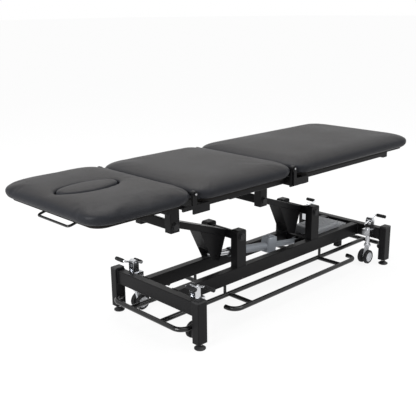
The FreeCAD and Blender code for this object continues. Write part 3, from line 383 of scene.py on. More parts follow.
def clear_selection():
    """Leaves edit mode and deselects everything."""
    if bpy.context.object and bpy.context.object.mode != "OBJECT":
        bpy.ops.object.mode_set(mode="OBJECT")
    bpy.ops.object.select_all(action="DESELECT")


def pick(obj):
    """Selects one object alone and makes it the active one."""
    clear_selection()
    obj.select_set(True)
    bpy.context.view_layer.objects.active = obj


def apply_place():
    """Puts the place, turn and scale of what is selected into its mesh."""
    bpy.ops.object.transform_apply(location=True, rotation=True, scale=True)


def settle(obj, name):
    """Puts an object's place into its mesh and gives it its name."""
    pick(obj)
    apply_place()
    obj.name = name
    obj.data.name = name
    return obj


def standing(place, axis=TOP):
    """Where a form goes whose +Z is turned to an axis."""
    turn = TOP.rotation_difference(Vector(axis)).to_matrix().to_4x4()
    return Matrix.Translation(Vector(place)) @ turn


def set_at(obj, place):
    """Moves a form to its place, in its mesh."""
    pick(obj)
    obj.matrix_world = place
    apply_place()
    return obj


def copies(form, places):
    """A copy of a form at each place, with its own mesh. The form itself goes."""
    made = []
    for place in places:
        copy = form.copy()
        copy.data = form.data.copy()
        bpy.context.collection.objects.link(copy)
        made.append(set_at(copy, place))
    bpy.data.meshes.remove(form.data)
    return made


def shared_out(made, pieces):
    """A row of copies in equal runs, one for each piece."""
    run = len(made) // pieces
    return [made[start:start + run] for start in range(0, len(made), run)]


def joined(objs, name):
    """Makes one piece of several forms, under its name."""
    clear_selection()
    for obj in objs:
        obj.select_set(True)
    bpy.context.view_layer.objects.active = objs[0]
    if len(objs) > 1:
        bpy.ops.object.join()
    return settle(bpy.context.object, name)


def finish_piece(obj, finish, body, angle=35.0):
    """Gives a piece its finish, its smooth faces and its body."""
    obj.data.materials.clear()
    obj.data.materials.append(bpy.data.materials[finish])
    pick(obj)
    bpy.ops.object.shade_smooth_by_angle(angle=math.radians(angle))
    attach(obj, body)
    return obj


def modified(obj, kind, settings):
    """Adds a modifier with its settings and applies it."""
    modifier = obj.modifiers.new(kind.lower(), kind)
    for key, setting in settings.items():
        setattr(modifier, key, setting)
    apply_modifier(obj, modifier)


def apply_modifier(obj, modifier):
    """Makes a modifier's shape the mesh itself."""
    pick(obj)
    bpy.ops.object.modifier_apply(modifier=modifier.name)


def raise_rings(obj, rings, kind="FACE"):
    """Extrudes a flat outline up through (height, half length, half width) rings about its middle."""
    bpy.ops.object.mode_set(mode="EDIT")
    bpy.ops.mesh.select_mode(type=kind)
    bpy.ops.mesh.select_all(action="SELECT")
    for (below, length, width), (height, new_length, new_width) in zip(rings, rings[1:]):
        bpy.ops.mesh.extrude_region_move(TRANSFORM_OT_translate={"value": (0, 0, height - below)})
        if abs(new_length - length) + abs(new_width - width) > SAME:
            growth = (new_length / length, new_width / width, 1.0)
            bpy.ops.transform.resize(value=growth, center_override=(0, 0, height))
    bpy.ops.mesh.select_all(action="SELECT")
    bpy.ops.mesh.remove_doubles(threshold=MERGE)
    bpy.ops.mesh.normals_make_consistent(inside=False)
    bpy.ops.object.mode_set(mode="OBJECT")
    return obj


def oval_form(rings, sides):
    """A turned or oval form from a circle, raised through its rings."""
    clear_selection()
    height, half_length, half_width = rings[0]
    bpy.ops.mesh.primitive_circle_add(vertices=sides, radius=1.0, fill_type="NGON", location=(0, 0, height))
    obj = bpy.context.object
    obj.scale = (half_length, half_width, 1.0)
    apply_place()
    return raise_rings(obj, rings)


def turned(profile, sides):
    """A round form through (distance, radius) steps along +Z."""
    return oval_form([(distance, radius, radius) for distance, radius in profile], sides)


def mouth_seal(steps, mouth, radius, bore, sides):
    """A bored ring at a tube's mouth, from (distance past the mouth, rise over the tube) steps."""
    profile = [(mouth + past, radius + rise) for past, rise in steps]
    profile += [(profile[-1][0], bore), (profile[0][0], bore), profile[0]]
    clear_selection()
    distance, start = profile[0]
    bpy.ops.mesh.primitive_circle_add(vertices=sides, radius=start, fill_type="NOTHING",
                                      location=(0, 0, distance))
    obj = bpy.context.object
    apply_place()
    return raise_rings(obj, [(along, reach, reach) for along, reach in profile], "EDGE")


def slab_form(rings, corners):
    """A rounded rectangle raised through its rings; corners are the radii at its -X and +X ends."""
    clear_selection()
    height, half_length, half_width = rings[0]
    bpy.ops.mesh.primitive_plane_add(size=2.0, location=(0, 0, height))
    obj = bpy.context.object
    obj.scale = (half_length, half_width, 1.0)
    apply_place()
    for end, radius in zip((-1, 1), corners):
        bpy.ops.object.mode_set(mode="EDIT")
        bpy.ops.mesh.select_mode(type="VERT")
        bpy.ops.mesh.select_all(action="DESELECT")
        bpy.ops.object.mode_set(mode="OBJECT")
        for point in obj.data.vertices:
            at_end = point.co.x * end > half_length * NEAR_EDGE
            point.select = at_end and abs(point.co.y) > half_width * NEAR_EDGE
        bpy.ops.object.mode_set(mode="EDIT")
        bpy.ops.mesh.bevel(offset=radius, offset_type="OFFSET", segments=CORNER_SEGMENTS, profile=0.5,
                           affect="VERTICES")
        bpy.ops.object.mode_set(mode="OBJECT")
    return raise_rings(obj, rings)


def corners_of(node):
    """The low and high corners of a CAD node's box."""
    return tuple(Vector(corner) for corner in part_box(node))


def middle(node):
    """The middle of a CAD node's box."""
    low, high = corners_of(node)
    return (low + high) / 2


def on_both_sides(node, x, z):
    """Where forms go on the near and far faces of a CAD node, turned outward."""
    low, high = corners_of(node)
    return [standing((x, low.y, z), (0, -1, 0)), standing((x, high.y, z), (0, 1, 0))]


def pad_form(node, corners, sizes):
    """A pad at its size: drawn in underneath, widest low down, with a wide pillow roll up to its crown."""
    low, high = corners_of(node)
    half = (high - low) / 2 + Vector((sizes.allowance, sizes.allowance, 0.0))
    roll_height = high.z - low.z - sizes.undersize - sizes.under_height
    steps = []
    for step in range(UNDER_STEPS):
        turn = math.radians(90.0 * step / UNDER_STEPS)
        steps.append((sizes.under_height * (1 - math.cos(turn)), sizes.under_round * (1 - math.sin(turn))))
    for step in range(ROLL_STEPS):
        turn = math.radians(90.0 * step / (ROLL_STEPS - 1))
        rise = sizes.under_height + roll_height * math.sin(turn)
        steps.append((rise, sizes.roll_width * (1 - math.cos(turn))))
    rings = [(low.z + height, half.x - inset, half.y - inset) for height, inset in steps]
    centre = middle(node)
    return set_at(slab_form(rings, corners), standing((centre.x, centre.y, 0.0)))


def flatten(obj, base_z):
    """Lays the underside of a pad flat on its board."""
    for point in obj.data.vertices:
        if point.co.z < base_z + FLAT_BAND:
            point.co.z = base_z


def swell(obj, most, base_z):
    """Lets cloth pressure swell a pad's skin, with its moves scaled to the most that is allowed."""
    start = [point.co.copy() for point in obj.data.vertices]
    pinned = obj.vertex_groups.new(name="underside")
    low = [point.index for point in obj.data.vertices if point.co.z < base_z + PINNED_BAND]
    pinned.add(low, 1.0, "REPLACE")
    cloth = obj.modifiers.new("skin", "CLOTH")
    cloth.settings.quality = 5
    cloth.settings.mass = 0.35
    cloth.settings.tension_stiffness = 18.0
    cloth.settings.compression_stiffness = 18.0
    cloth.settings.bending_stiffness = 6.0
    cloth.settings.use_pressure = True
    cloth.settings.uniform_pressure_force = 4.0
    cloth.settings.effector_weights.gravity = 0.0
    cloth.settings.vertex_group_mass = pinned.name
    cloth.collision_settings.use_collision = False
    cloth.point_cache.frame_start = 1
    cloth.point_cache.frame_end = CLOTH_FRAMES
    for step in range(CLOTH_FRAMES):
        bpy.context.scene.frame_set(step + 1)
    apply_modifier(obj, cloth)
    bpy.context.scene.frame_set(1)
    moves = [point.co - before for point, before in zip(obj.data.vertices, start)]
    share = min(1.0, most / max(move.length for move in moves))
    for point, before, move in zip(obj.data.vertices, start, moves):
        point.co = before + move * share
    obj.vertex_groups.clear()


def inflate(obj, spacing, most, base_z):
    """Remeshes a pad evenly, swells it and smooths it; the underside stays flat on its board."""
    modified(obj, "REMESH", {"mode": "VOXEL", "voxel_size": spacing, "use_smooth_shade": True})
    modified(obj, "SMOOTH", {"factor": 0.5, "iterations": 6})
    flatten(obj, base_z)
    swell(obj, most, base_z)
    modified(obj, "SMOOTH", {"factor": 0.5, "iterations": 4})
    flatten(obj, base_z)
    modified(obj, "SUBSURF", {"levels": 1, "render_levels": 1})
    for point in obj.data.vertices:
        point.co.z = max(point.co.z, base_z)
    return obj


def joint_named(name):
    """A joint of the record by its name."""
    return [joint for joint in frame["record"]["behaviour"]["joints"] if joint["name"] == name][0]


def sliding_line(turn, slide, rod):
    """Pivot and direction of a telescoping piece, toward its rod."""
    pivot = Vector(joint_named(turn)["pos_m"])
    axis = Vector(joint_named(slide)["axis"]).normalized()
    if axis.dot(middle(rod) - pivot) < 0:
        axis = -axis
    return pivot, axis


# Operators


class TABLE_OT_finishes(bpy.types.Operator):
    """Gives every CAD node of the table its procedural finish"""

    bl_idname = "table.finishes"
    bl_label = "Finishes"

    def execute(self, context):
        colours = context.scene.table_finishes
        upright, sideways, lengthways = (1.0, 1.0, 0.2), (1.0, 0.3, 1.0), (0.08, 1.0, 1.0)
        made = {
            "black_steel": powder_coat("black_powder_coat", colours.frame),
            "vinyl": upholstery("charcoal_vinyl", colours.vinyl),
            "plywood": layered_ply("stained_ply", colours.ply),
            "chrome": bright_metal("chrome_plate", colours.chrome, rough=0.12, stretch=upright, pits=0.5),
            "zinc": bright_metal("zinc_plate", colours.zinc, rough=0.32, stretch=sideways, pits=1.0),
            "steel_rod": bright_metal("ground_rod", colours.rod, rough=0.2, stretch=lengthways, pits=0.2),
            "rubber": tyre_rubber("grip_rubber", colours.rubber),
            "castor_tyre": tyre_rubber("tyre_rubber", colours.rubber),
            "black_plastic": moulded("black_nylon", colours.nylon, rough=0.45, grit=0.12),
            "grey_plastic": moulded("hub_nylon", colours.hub, rough=0.42, grit=0.08),
            "actuator_grey": moulded("actuator_housing", colours.motor, rough=0.38, grit=0.1),
            "light_plastic": moulded("control_case", colours.case, rough=0.4, grit=0.12),
        }
        powder_coat("weld_coat", colours.frame, ripple=3.0)
        handled = powder_coat("handled_coat", colours.frame, rough=0.13, shine=0.38)
        for part in frame["record"]["subparts"]:
            node = frame["nodes"][part["node"]]
            finish = handled if part["node"] in HANDLED else made[part["material_slot"]]
            node.data.materials.clear()
            node.data.materials.append(finish)
        return {"FINISHED"}


# The face opening by height over the pad's top and flare, in metres

OPENING_FLARE = ((-0.016, 0.0), (-0.007, 0.002), (-0.002, 0.007), (0.004, 0.014), (0.03, 0.02))
CUT_BELOW = 0.03
PLUG_SIDES = 96
PAD_ANGLE = 60.0


class TABLE_OT_pads(bpy.types.Operator):
    """Makes the head, middle and foot cushions and inflates them"""

    bl_idname = "table.pads"
    bl_label = "Cushions"

    def execute(self, context):
        sizes = context.scene.table_sizes
        end, joint = sizes.corner_outer, sizes.corner_joint
        plans = (("head_cushion", "head_section", (end, joint)),
                 ("mid_cushion", "upper_frame", (joint, joint)),
                 ("foot_cushion", "foot_section", (joint, end)))
        for node, body, corners in plans:
            pad = pad_form(node, corners, sizes)
            low, high = corners_of(node)
            if node == "head_cushion":
                self.face_opening(pad, high.z, sizes.groove)
            inflate(pad, sizes.weave, sizes.swell, low.z)
            pad.name = node + "_cover"
            pad.data.name = pad.name
            finish_piece(pad, "charcoal_vinyl", body, PAD_ANGLE)
            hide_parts(node)
        return {"FINISHED"}

    def face_opening(self, pad, top, groove):
        low, high = corners_of("face_plug")
        half = (high - low) / 2 + Vector((groove, groove, 0.0))
        rings = [(low.z - CUT_BELOW, half.x, half.y)]
        rings += [(top + rise, half.x + flare, half.y + flare) for rise, flare in OPENING_FLARE]
        centre = middle("face_plug")
        cutter = set_at(oval_form(rings, PLUG_SIDES), standing((centre.x, centre.y, 0.0)))
        modified(pad, "BOOLEAN", {"operation": "DIFFERENCE", "object": cutter, "solver": "EXACT"})
        bpy.data.meshes.remove(cutter.data)


# The plug's dome by height over its top and inset, in metres

PLUG_DOME = ((-0.0150, 0.0), (-0.0095, 0.0012), (-0.0055, 0.0040), (-0.0028, 0.0085), (-0.0012, 0.0150),
             (-0.0004, 0.026), (0.0003, 0.040))
PLUG_SLACK = 0.0015
PLUG_SUNK = 0.0025
PLUG_WEAVE = 0.0055
PLUG_SWELL = 0.0015
FOOT_INSET = 0.002
FOOT_HEIGHT = 0.004


class TABLE_OT_plug(bpy.types.Operator):
    """Makes the padded plug of the face opening"""

    bl_idname = "table.plug"
    bl_label = "Face plug"

    def execute(self, context):
        low, high = corners_of("face_plug")
        half = (high - low) / 2 - Vector((PLUG_SLACK, PLUG_SLACK, 0.0))
        top = high.z - PLUG_SUNK
        rings = [(low.z, half.x - FOOT_INSET, half.y - FOOT_INSET), (low.z + FOOT_HEIGHT, half.x, half.y)]
        rings += [(top + rise, half.x - inset, half.y - inset) for rise, inset in PLUG_DOME]
        centre = middle("face_plug")
        plug = set_at(oval_form(rings, PLUG_SIDES), standing((centre.x, centre.y, 0.0)))
        plug.name = "face_plug_cover"
        inflate(plug, PLUG_WEAVE, PLUG_SWELL, low.z)
        plug.data.name = plug.name
        finish_piece(plug, "charcoal_vinyl", "face_plug", PAD_ANGLE)
        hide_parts("face_plug")
        return {"FINISHED"}


# Hubs and grips by distance along the axis and radius, in metres

HUB_FACE = ((-0.0022, 0.0256), (-0.0006, 0.0256), (-0.0006, 0.0232), (-0.0017, 0.0222), (-0.0017, 0.0150),
            (-0.0004, 0.0142), (-0.0004, 0.0102), (0.0004, 0.0092), (0.0004, 0.0030))
HUB_SIDES = 40
GRIP_START = ((0.0, 0.0062), (0.0018, 0.0084), (0.0045, 0.0090))
GRIP_RIB = ((0.0, 0.0082), (0.0012, 0.0094), (0.0036, 0.0094), (0.0048, 0.0082))
GRIP_END = ((-0.0055, 0.0092), (-0.0022, 0.0085), (-0.0005, 0.0055))
GRIP_SIDES = 24
GRIP_RADIUS = 0.0095
GRIP_RIBS = 6
GRIP_FIRST_RIB = 0.008
GRIP_PITCH = 0.0062


class TABLE_OT_castors(bpy.types.Operator):
    """Makes the castor hubs and the ribbed rubber grips of the rockers"""

    bl_idname = "table.castors"
    bl_label = "Castors"

    def execute(self, context):
        for where, hubs, grips in zip(WHERES, self.hubs(), self.grips()):
            hub = joined(hubs, "castor_hubs_" + where)
            finish_piece(hub, "hub_nylon", "castor_wheels_" + where)
            grip = joined(grips, "rubber_grips_" + where)
            finish_piece(grip, "grip_rubber", "castor_rocker_" + where)
            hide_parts("castor_grips_" + where)
        return {"FINISHED"}

    def hubs(self):
        places = []
        for where in WHERES:
            centre = middle("castor_wheels_" + where)
            places += on_both_sides("castor_wheels_" + where, centre.x, centre.z)
        return shared_out(copies(turned(HUB_FACE, HUB_SIDES), places), len(WHERES))

    def grips(self):
        places = []
        for where in WHERES:
            low, high = corners_of("castor_grips_" + where)
            outward = 1 if where.endswith("far") else -1
            start = low.y if outward > 0 else high.y
            ends = (low.x + GRIP_RADIUS, high.x - GRIP_RADIUS)
            outer, inner = ends if where.startswith("head") else reversed(ends)
            for x, z in ((outer, high.z - GRIP_RADIUS), (inner, low.z + GRIP_RADIUS)):
                places.append(standing((x, start, z), (0, outward, 0)))
        length = high.y - low.y
        steps = list(GRIP_START)
        for rib in range(GRIP_RIBS):
            steps += [(GRIP_FIRST_RIB + rib * GRIP_PITCH + along, radius) for along, radius in GRIP_RIB]
        steps += [(length + along, radius) for along, radius in GRIP_END]
        return shared_out(copies(turned(steps, GRIP_SIDES), places), len(WHERES))


# Heads and nuts by distance and share of their radius, washers by rise over it, caps by radius

HEX_HEAD = ((-0.0072, 1.0), (-0.0010, 1.0), (0.0006, 0.86))
LOCK_NUT = ((0.0195, 0.9), (0.0202, 1.0), (0.0268, 1.0), (0.0275, 0.9))
WASHER = ((-0.0092, 0.0), (-0.0070, 0.0), (-0.0066, -0.0005))
HINGE_CAP = ((-0.0030, 0.0046), (-0.0002, 0.0046), (0.0008, 0.0039), (0.0013, 0.0025), (0.0014, 0.0010))
HEX_SIDES = 6
WASHER_SIDES = 32
CAP_SIDES = 28
CRISP_ANGLE = 25.0


class TABLE_OT_fasteners(bpy.types.Operator):
    """Makes the hex heads, washers, lock nuts and hinge caps"""

    bl_idname = "table.fasteners"
    bl_label = "Fasteners"

    def execute(self, context):
        sizes = context.scene.table_sizes
        self.heads(sizes)
        self.nuts(sizes)
        self.hinge_caps()
        return {"FINISHED"}

    def heads(self, sizes):
        bodies = {"lower_pivot_bolts": "base", "upper_pivot_bolts": "upper_frame"}
        places = []
        for node in bodies:
            low, high = corners_of(node)
            bolt = (high.z - low.z) / 2
            for x in (low.x + bolt, high.x - bolt):
                places += on_both_sides(node, x, low.z + bolt)
        hexagon = turned([(along, sizes.hex_radius * share) for along, share in HEX_HEAD], HEX_SIDES)
        hexagons = shared_out(copies(hexagon, places), len(bodies))
        washer = turned([(along, sizes.washer_radius + rise) for along, rise in WASHER], WASHER_SIDES)
        washers = shared_out(copies(washer, places), len(bodies))
        for node, heads, rings in zip(bodies, hexagons, washers):
            piece = joined(heads + rings, node.replace("bolts", "hex_heads"))
            finish_piece(piece, "black_nylon", bodies[node], CRISP_ANGLE)

    def nuts(self, sizes):
        centres = [middle("levelling_foot_" + where) for where in WHERES]
        form = turned([(along, sizes.nut_radius * share) for along, share in LOCK_NUT], HEX_SIDES)
        made = copies(form, [standing((centre.x, centre.y, 0.0)) for centre in centres])
        for where, nut in zip(WHERES, made):
            piece = joined([nut], "lock_nut_" + where)
            finish_piece(piece, "zinc_plate", "levelling_foot_" + where, CRISP_ANGLE)

    def hinge_caps(self):
        hinges = {"head": "head_tilt", "foot": "foot_raise"}
        places = []
        for section, hinge in hinges.items():
            pivot = Vector(joint_named(hinge)["pos_m"])
            places += on_both_sides(section + "_frame", pivot.x, pivot.z)
        made = copies(turned(HINGE_CAP, CAP_SIDES), places)
        for section, caps in zip(hinges, shared_out(made, len(hinges))):
            piece = joined(caps, section + "_hinge_caps")
            finish_piece(piece, "zinc_plate", section + "_section")


# Control box: screws and glands by distance and radius, lid by height and inset, ribs by share of its length

CASE_SCREW = ((-0.0010, 0.0046), (0.0006, 0.0046), (0.0014, 0.0036), (0.0014, 0.0020), (0.0004, 0.0016))
CASE_SCREW_SIDES = 20
SCREW_INSET = 0.014
CASE_GLAND = ((-0.001, 0.0105), (0.004, 0.0105), (0.0045, 0.0085), (0.010, 0.0080), (0.0125, 0.0066),
              (0.0125, 0.0036), (0.0060, 0.0034))
GLAND_SIDES = 18
GLAND_PITCH = 0.032
GLAND_HEIGHT = 0.020
LID_PLATE = ((-0.001, 0.0), (0.0016, 0.0), (0.0024, 0.001))
LID_CORNERS = (0.008, 0.008)
LID_END_MARGIN = 0.028
LID_SIDE_MARGIN = 0.012
LID_RIB = ((0.0, 0.8, 0.0026), (0.0036, 0.8, 0.0024), (0.0042, 0.79, 0.0016))
LID_RIB_CORNERS = (0.0015, 0.0015)
LID_RIBS = 6
LID_PITCH = 0.28
RIB_ANGLE = 30.0

# Motor cover: plate and ribs by height, half length and half width, screws by distance and radius

COVER_PLATE = ((-0.001, 0.0265, 0.0195), (0.0015, 0.0265, 0.0195), (0.0024, 0.0255, 0.0185))
COVER_CORNERS = (0.005, 0.005)
COVER_RIB = ((0.0, 0.0155, 0.0016), (0.0034, 0.0155, 0.0014), (0.0038, 0.0150, 0.0009))
COVER_RIB_CORNERS = (0.001, 0.001)
COVER_RIBS = 4
COVER_PITCH = 0.0072
COVER_SCREW = ((0.0010, 0.0024), (0.0030, 0.0024), (0.0036, 0.0018), (0.0036, 0.0010), (0.0028, 0.0008))
COVER_SCREW_SIDES = 16
COVER_SCREW_X = 0.0215
COVER_SCREW_Y = 0.0145

# Seals by distance past their tube's mouth and rise over the tube, and the play round their rods

ACTUATOR_SEAL = ((-0.011, 0.0003), (-0.010, 0.0020), (-0.0015, 0.0020), (0.0005, 0.0), (0.002, -0.004))
TUBE_SIDES = 36
ROD_PLAY = 0.0005
STRUT_SEAL = ((-0.014, 0.0002), (-0.013, 0.0011), (-0.004, 0.0011), (0.0, -0.0008), (0.003, -0.0045))
STRUT_SIDES = 28
STRUT_ROD_PLAY = 0.0004


class TABLE_OT_drive(bpy.types.Operator):
    """Makes the small parts of the actuator, the control box and the struts"""

    bl_idname = "table.drive"
    bl_label = "Drive"

    def execute(self, context):
        sizes = context.scene.table_sizes
        self.control_box(sizes.case_length)
        self.actuator(sizes)
        self.strut_seals(sizes)
        return {"FINISHED"}

    def control_box(self, case_length):
        low, high = corners_of("control_box")
        far_x = low.x + case_length
        places = []
        for x in (low.x + SCREW_INSET, far_x - SCREW_INSET):
            for y in (low.y + SCREW_INSET, high.y - SCREW_INSET):
                places.append(standing((x, y, high.z)))
        screws = joined(copies(turned(CASE_SCREW, CASE_SCREW_SIDES), places), "control_box_screws")
        finish_piece(screws, "zinc_plate", "base")
        length = case_length / 2 - LID_END_MARGIN
        width = (high.y - low.y) / 2 - LID_SIDE_MARGIN
        lid_x = (low.x + far_x) / 2
        plate = [(height, length - inset, width - inset) for height, inset in LID_PLATE]
        lid = copies(slab_form(plate, LID_CORNERS), [standing((lid_x, 0.0, high.z))])
        rib = slab_form([(height, length * share, half) for height, share, half in LID_RIB], LID_RIB_CORNERS)
        across = [(index - (LID_RIBS - 1) / 2) * width * LID_PITCH for index in range(LID_RIBS)]
        lid += copies(rib, [standing((lid_x, y, high.z)) for y in across])
        finish_piece(joined(lid, "control_box_lid"), "control_case", "base", RIB_ANGLE)
        across = (-GLAND_PITCH, 0.0, GLAND_PITCH)
        places = [standing((low.x, y, low.z + GLAND_HEIGHT), (-1, 0, 0)) for y in across]
        glands = joined(copies(turned(CASE_GLAND, GLAND_SIDES), places), "control_box_glands")
        finish_piece(glands, "black_nylon", "base")

    def actuator(self, sizes):
        pivot, axis = sliding_line("actuator_tilt", "actuator_stroke", "actuator_rod")
        bore = sizes.rod_radius + ROD_PLAY
        seal = mouth_seal(ACTUATOR_SEAL, sizes.tube_end, sizes.tube_radius, bore, TUBE_SIDES)
        seal = joined([set_at(seal, standing(pivot, axis))], "actuator_seal")
        finish_piece(seal, "black_nylon", "actuator")
        up = Vector((0, 1, 0)).cross(axis)
        up = up if up.z > 0 else -up
        turn = Matrix((axis, up.cross(axis), up)).transposed().to_4x4()
        roof = Matrix.Translation(pivot + axis * sizes.motor_middle + up * sizes.motor_above) @ turn
        cover = copies(slab_form(COVER_PLATE, COVER_CORNERS), [roof])
        across = [(index - (COVER_RIBS - 1) / 2) * COVER_PITCH for index in range(COVER_RIBS)]
        places = [roof @ Matrix.Translation((0.0, y, 0.0)) for y in across]
        cover += copies(slab_form(COVER_RIB, COVER_RIB_CORNERS), places)
        finish_piece(joined(cover, "motor_cover"), "actuator_housing", "actuator", RIB_ANGLE)
        places = []
        for x in (-COVER_SCREW_X, COVER_SCREW_X):
            for y in (-COVER_SCREW_Y, COVER_SCREW_Y):
                places.append(roof @ Matrix.Translation((x, y, 0.0)))
        screws = joined(copies(turned(COVER_SCREW, COVER_SCREW_SIDES), places), "motor_cover_screws")
        finish_piece(screws, "zinc_plate", "actuator")

    def strut_seals(self, sizes):
        bore = sizes.strut_rod_radius + STRUT_ROD_PLAY
        for section, mouth in (("head", sizes.head_strut_cover), ("foot", sizes.foot_strut_cover)):
            strut = section + "_strut"
            pivot, axis = sliding_line(strut + "_turn", strut + "_stroke", strut + "_rod")
            seal = mouth_seal(STRUT_SEAL, mouth, sizes.strut_radius, bore, STRUT_SIDES)
            seal = joined([set_at(seal, standing(pivot, axis))], strut + "_seal")
            finish_piece(seal, "black_nylon", strut)


# Half widths of the frame's tubes, and a bead by rise and reach as shares of how far it stands proud

TUBE_HALF = 0.020
POST_HALF = 0.030
HANGER_HALF = 0.025
BEAD_STEPS = ((0.45, 0.75), (0.85, 0.4))
BEAD_FOOT = 0.9
BEAD_TOP = 1.1
BEAD_SUNK = 0.0002
BEAD_RUN_OUT = 0.0004
BEAD_CORNERS = (0.005, 0.005)
BEAD_ANGLE = 50.0


class TABLE_OT_welds(bpy.types.Operator):
    """Runs the weld beads round the joints of the frame's tubes"""

    bl_idname = "table.welds"
    bl_label = "Welds"

    def execute(self, context):
        proud = context.scene.table_sizes.bead
        beam_low, beam_high = corners_of("long_beams")
        post_low, post_high = corners_of("base_posts")
        hang_low, hang_high = corners_of("hanging_posts")
        cross_high = corners_of("crossbeams")[1]
        level = middle("long_beams").z
        base_x = middle("legs").x
        beam_y = beam_high.y - TUBE_HALF
        cross_reach = cross_high.x - TUBE_HALF - base_x
        beam_reach = beam_high.x - base_x
        ends, posts, hangers = [], [], []
        for end in (-1, 1):
            for side in (-1, 1):
                cross_end = (base_x + end * cross_reach, side * cross_high.y, level)
                beam_end = (base_x + end * beam_reach, side * beam_y, level)
                ends.append(self.lying(cross_end, (0, -side, 0)))
                ends.append(self.lying(beam_end, (-end, 0, 0)))
        for side in (-1, 1):
            for x in (post_low.x + POST_HALF, post_high.x - POST_HALF):
                posts.append(standing((x, side * beam_y, post_low.z)))
            for x in (hang_low.x + HANGER_HALF, hang_high.x - HANGER_HALF):
                under = Matrix.Translation((x, side * beam_y, hang_high.z))
                hangers.append(under @ Matrix.Rotation(math.pi, 4, "X"))
        tall = (beam_high.z - beam_low.z) / 2
        base = copies(self.bead(TUBE_HALF, tall, proud), ends)
        base += copies(self.bead(POST_HALF, TUBE_HALF, proud), posts)
        top = copies(self.bead(HANGER_HALF, TUBE_HALF, proud), hangers)
        for beads, name, body in ((base, "base_welds", "base"), (top, "hanger_welds", "upper_frame")):
            finish_piece(joined(beads, name), "weld_coat", body, BEAD_ANGLE)
        return {"FINISHED"}

    def lying(self, place, axis):
        """Where a bead goes at the end of a level tube, with its width upright."""
        along = Vector(axis)
        turn = Matrix((TOP.cross(along), TOP, along)).transposed().to_4x4()
        return Matrix.Translation(Vector(place)) @ turn

    def bead(self, half_length, half_width, proud):
        """A rounded collar that stands proud of a tube at its end and runs out on it."""
        steps = [(-BEAD_SUNK, proud * BEAD_FOOT)]
        steps += [(proud * rise, proud * reach) for rise, reach in BEAD_STEPS]
        steps.append((proud * BEAD_TOP, -BEAD_RUN_OUT))
        rings = [(height, half_length + reach, half_width + reach) for height, reach in steps]
        return slab_form(rings, BEAD_CORNERS)


# The floor's size in metres, its share of plain white where it is seen, and the strength of the sky

FLOOR_SIZE = 160.0
FLOOR_GLOW = 0.9
SKY_LIGHT = 0.38


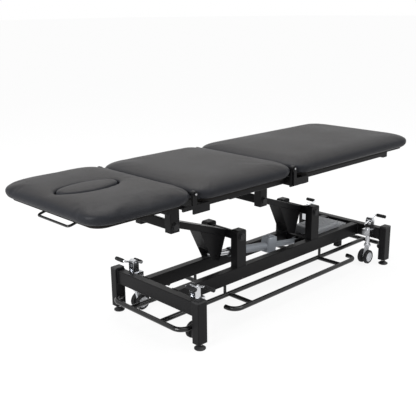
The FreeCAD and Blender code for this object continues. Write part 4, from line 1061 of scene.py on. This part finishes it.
class TABLE_OT_stage(bpy.types.Operator):
    """Sets the camera, the soft studio light and the pale floor"""

    bl_idname = "table.stage"
    bl_label = "Stage"

    def execute(self, context):
        view = context.scene.table_stage
        lens = bpy.data.cameras.new("photo_view")
        lens.sensor_fit = "HORIZONTAL"
        lens.sensor_width = 36.0
        lens.lens = view.lens
        lens.clip_end = 100.0
        camera = bpy.data.objects.new("photo_view", lens)
        context.scene.collection.objects.link(camera)
        level = Vector((math.cos(view.yaw), math.sin(view.yaw), 0.0))
        ahead = math.cos(view.pitch) * level - math.sin(view.pitch) * TOP
        right = Vector((math.sin(view.yaw), -math.cos(view.yaw), 0.0))
        above = right.cross(ahead)
        across = math.cos(view.roll) * right + math.sin(view.roll) * above
        above = -math.sin(view.roll) * right + math.cos(view.roll) * above
        turn = Matrix((across, above, -ahead)).transposed().to_4x4()
        base = Vector((middle("legs").x, 0.0, 0.0))
        camera.matrix_world = Matrix.Translation(base + Vector(view.place)) @ turn
        context.scene.camera = camera
        self.floor(view.floor)
        self.lamps(context)
        self.sky(context)
        context.scene.view_settings.view_transform = "Standard"
        return {"FINISHED"}

    def floor(self, colour):
        clear_selection()
        bpy.ops.mesh.primitive_plane_add(size=FLOOR_SIZE, location=(0, 0, 0))
        floor = settle(bpy.context.object, "studio_floor")
        paint = Recipe(bpy.data.materials.new("studio_floor"))
        paint.put("Base Color", tuple(colour))
        paint.put("Roughness", 0.9)
        paint.put("Specular IOR Level", 0.1)
        glow = paint.node("ShaderNodeEmission", {}, {"Color": WHITE, "Strength": 1.0})
        sockets = {0: FLOOR_GLOW * paint.seen(), 1: paint.shader.outputs[0], 2: glow.outputs[0]}
        mix = paint.node("ShaderNodeMixShader", {}, sockets)
        paint.feed(paint.tree.nodes["Material Output"].inputs["Surface"], mix.outputs[0])
        floor.data.materials.append(paint.owner)

    def lamps(self, context):
        plans = (("near_panel", (1.4, -3.2, 3.0), (0.0, 0.0, 0.5), 50.0, 2.2),
                 ("head_panel", (-4.2, -0.4, 2.2), (-0.3, 0.0, 0.5), 190.0, 2.0),
                 ("top_panel", (0.4, 1.2, 4.2), (0.0, 0.0, 0.6), 125.0, 3.0))
        for name, place, target, power, size in plans:
            lamp = bpy.data.lights.new(name, "AREA")
            lamp.energy = power
            lamp.size = size
            panel = bpy.data.objects.new(name, lamp)
            context.scene.collection.objects.link(panel)
            panel.location = place
            panel.rotation_euler = (Vector(target) - Vector(place)).to_track_quat("-Z", "Y").to_euler()
        lamp = bpy.data.lights.new("overhead", "SUN")
        lamp.energy = 1.3
        lamp.angle = math.radians(60.0)
        overhead = bpy.data.objects.new("overhead", lamp)
        context.scene.collection.objects.link(overhead)
        overhead.rotation_euler = (math.radians(18.0), math.radians(12.0), 0.0)

    def sky(self, context):
        air = Recipe(bpy.data.worlds.new("studio_white"), "Background")
        context.scene.world = air.owner
        air.put("Color", WHITE)
        air.put("Strength", SKY_LIGHT + (1.0 - SKY_LIGHT) * air.seen())


class TABLE_PT_panel(bpy.types.Panel):
    """Shows the table's operators and lists its settings"""

    bl_idname = "TABLE_PT_panel"
    bl_label = "Treatment Table"
    bl_space_type = "VIEW_3D"
    bl_region_type = "UI"
    bl_category = "Table"

    def draw(self, context):
        for operator in OPERATORS:
            self.layout.operator(operator.bl_idname)
        for group in (context.scene.table_finishes, context.scene.table_sizes, context.scene.table_stage):
            box = self.layout.box()
            for name in group.__annotations__:
                box.prop(group, name)


GROUPS = (("table_finishes", TableFinishes), ("table_sizes", TableSizes), ("table_stage", TableStage))
OPERATORS = (TABLE_OT_finishes, TABLE_OT_pads, TABLE_OT_plug, TABLE_OT_castors, TABLE_OT_fasteners,
             TABLE_OT_drive, TABLE_OT_welds, TABLE_OT_stage)


def register():
    for name, group in GROUPS:
        bpy.utils.register_class(group)
        setattr(bpy.types.Scene, name, bpy.props.PointerProperty(type=group))
    for operator in OPERATORS:
        bpy.utils.register_class(operator)
    bpy.utils.register_class(TABLE_PT_panel)


def unregister():
    bpy.utils.unregister_class(TABLE_PT_panel)
    for operator in reversed(OPERATORS):
        bpy.utils.unregister_class(operator)
    for name, group in reversed(GROUPS):
        delattr(bpy.types.Scene, name)
        bpy.utils.unregister_class(group)


def main():
    register()
    bpy.ops.table.finishes()
    bpy.ops.table.pads()
    bpy.ops.table.plug()
    bpy.ops.table.castors()
    bpy.ops.table.fasteners()
    bpy.ops.table.drive()
    bpy.ops.table.welds()
    bpy.ops.table.stage()


if __name__ == "__main__":
    main()
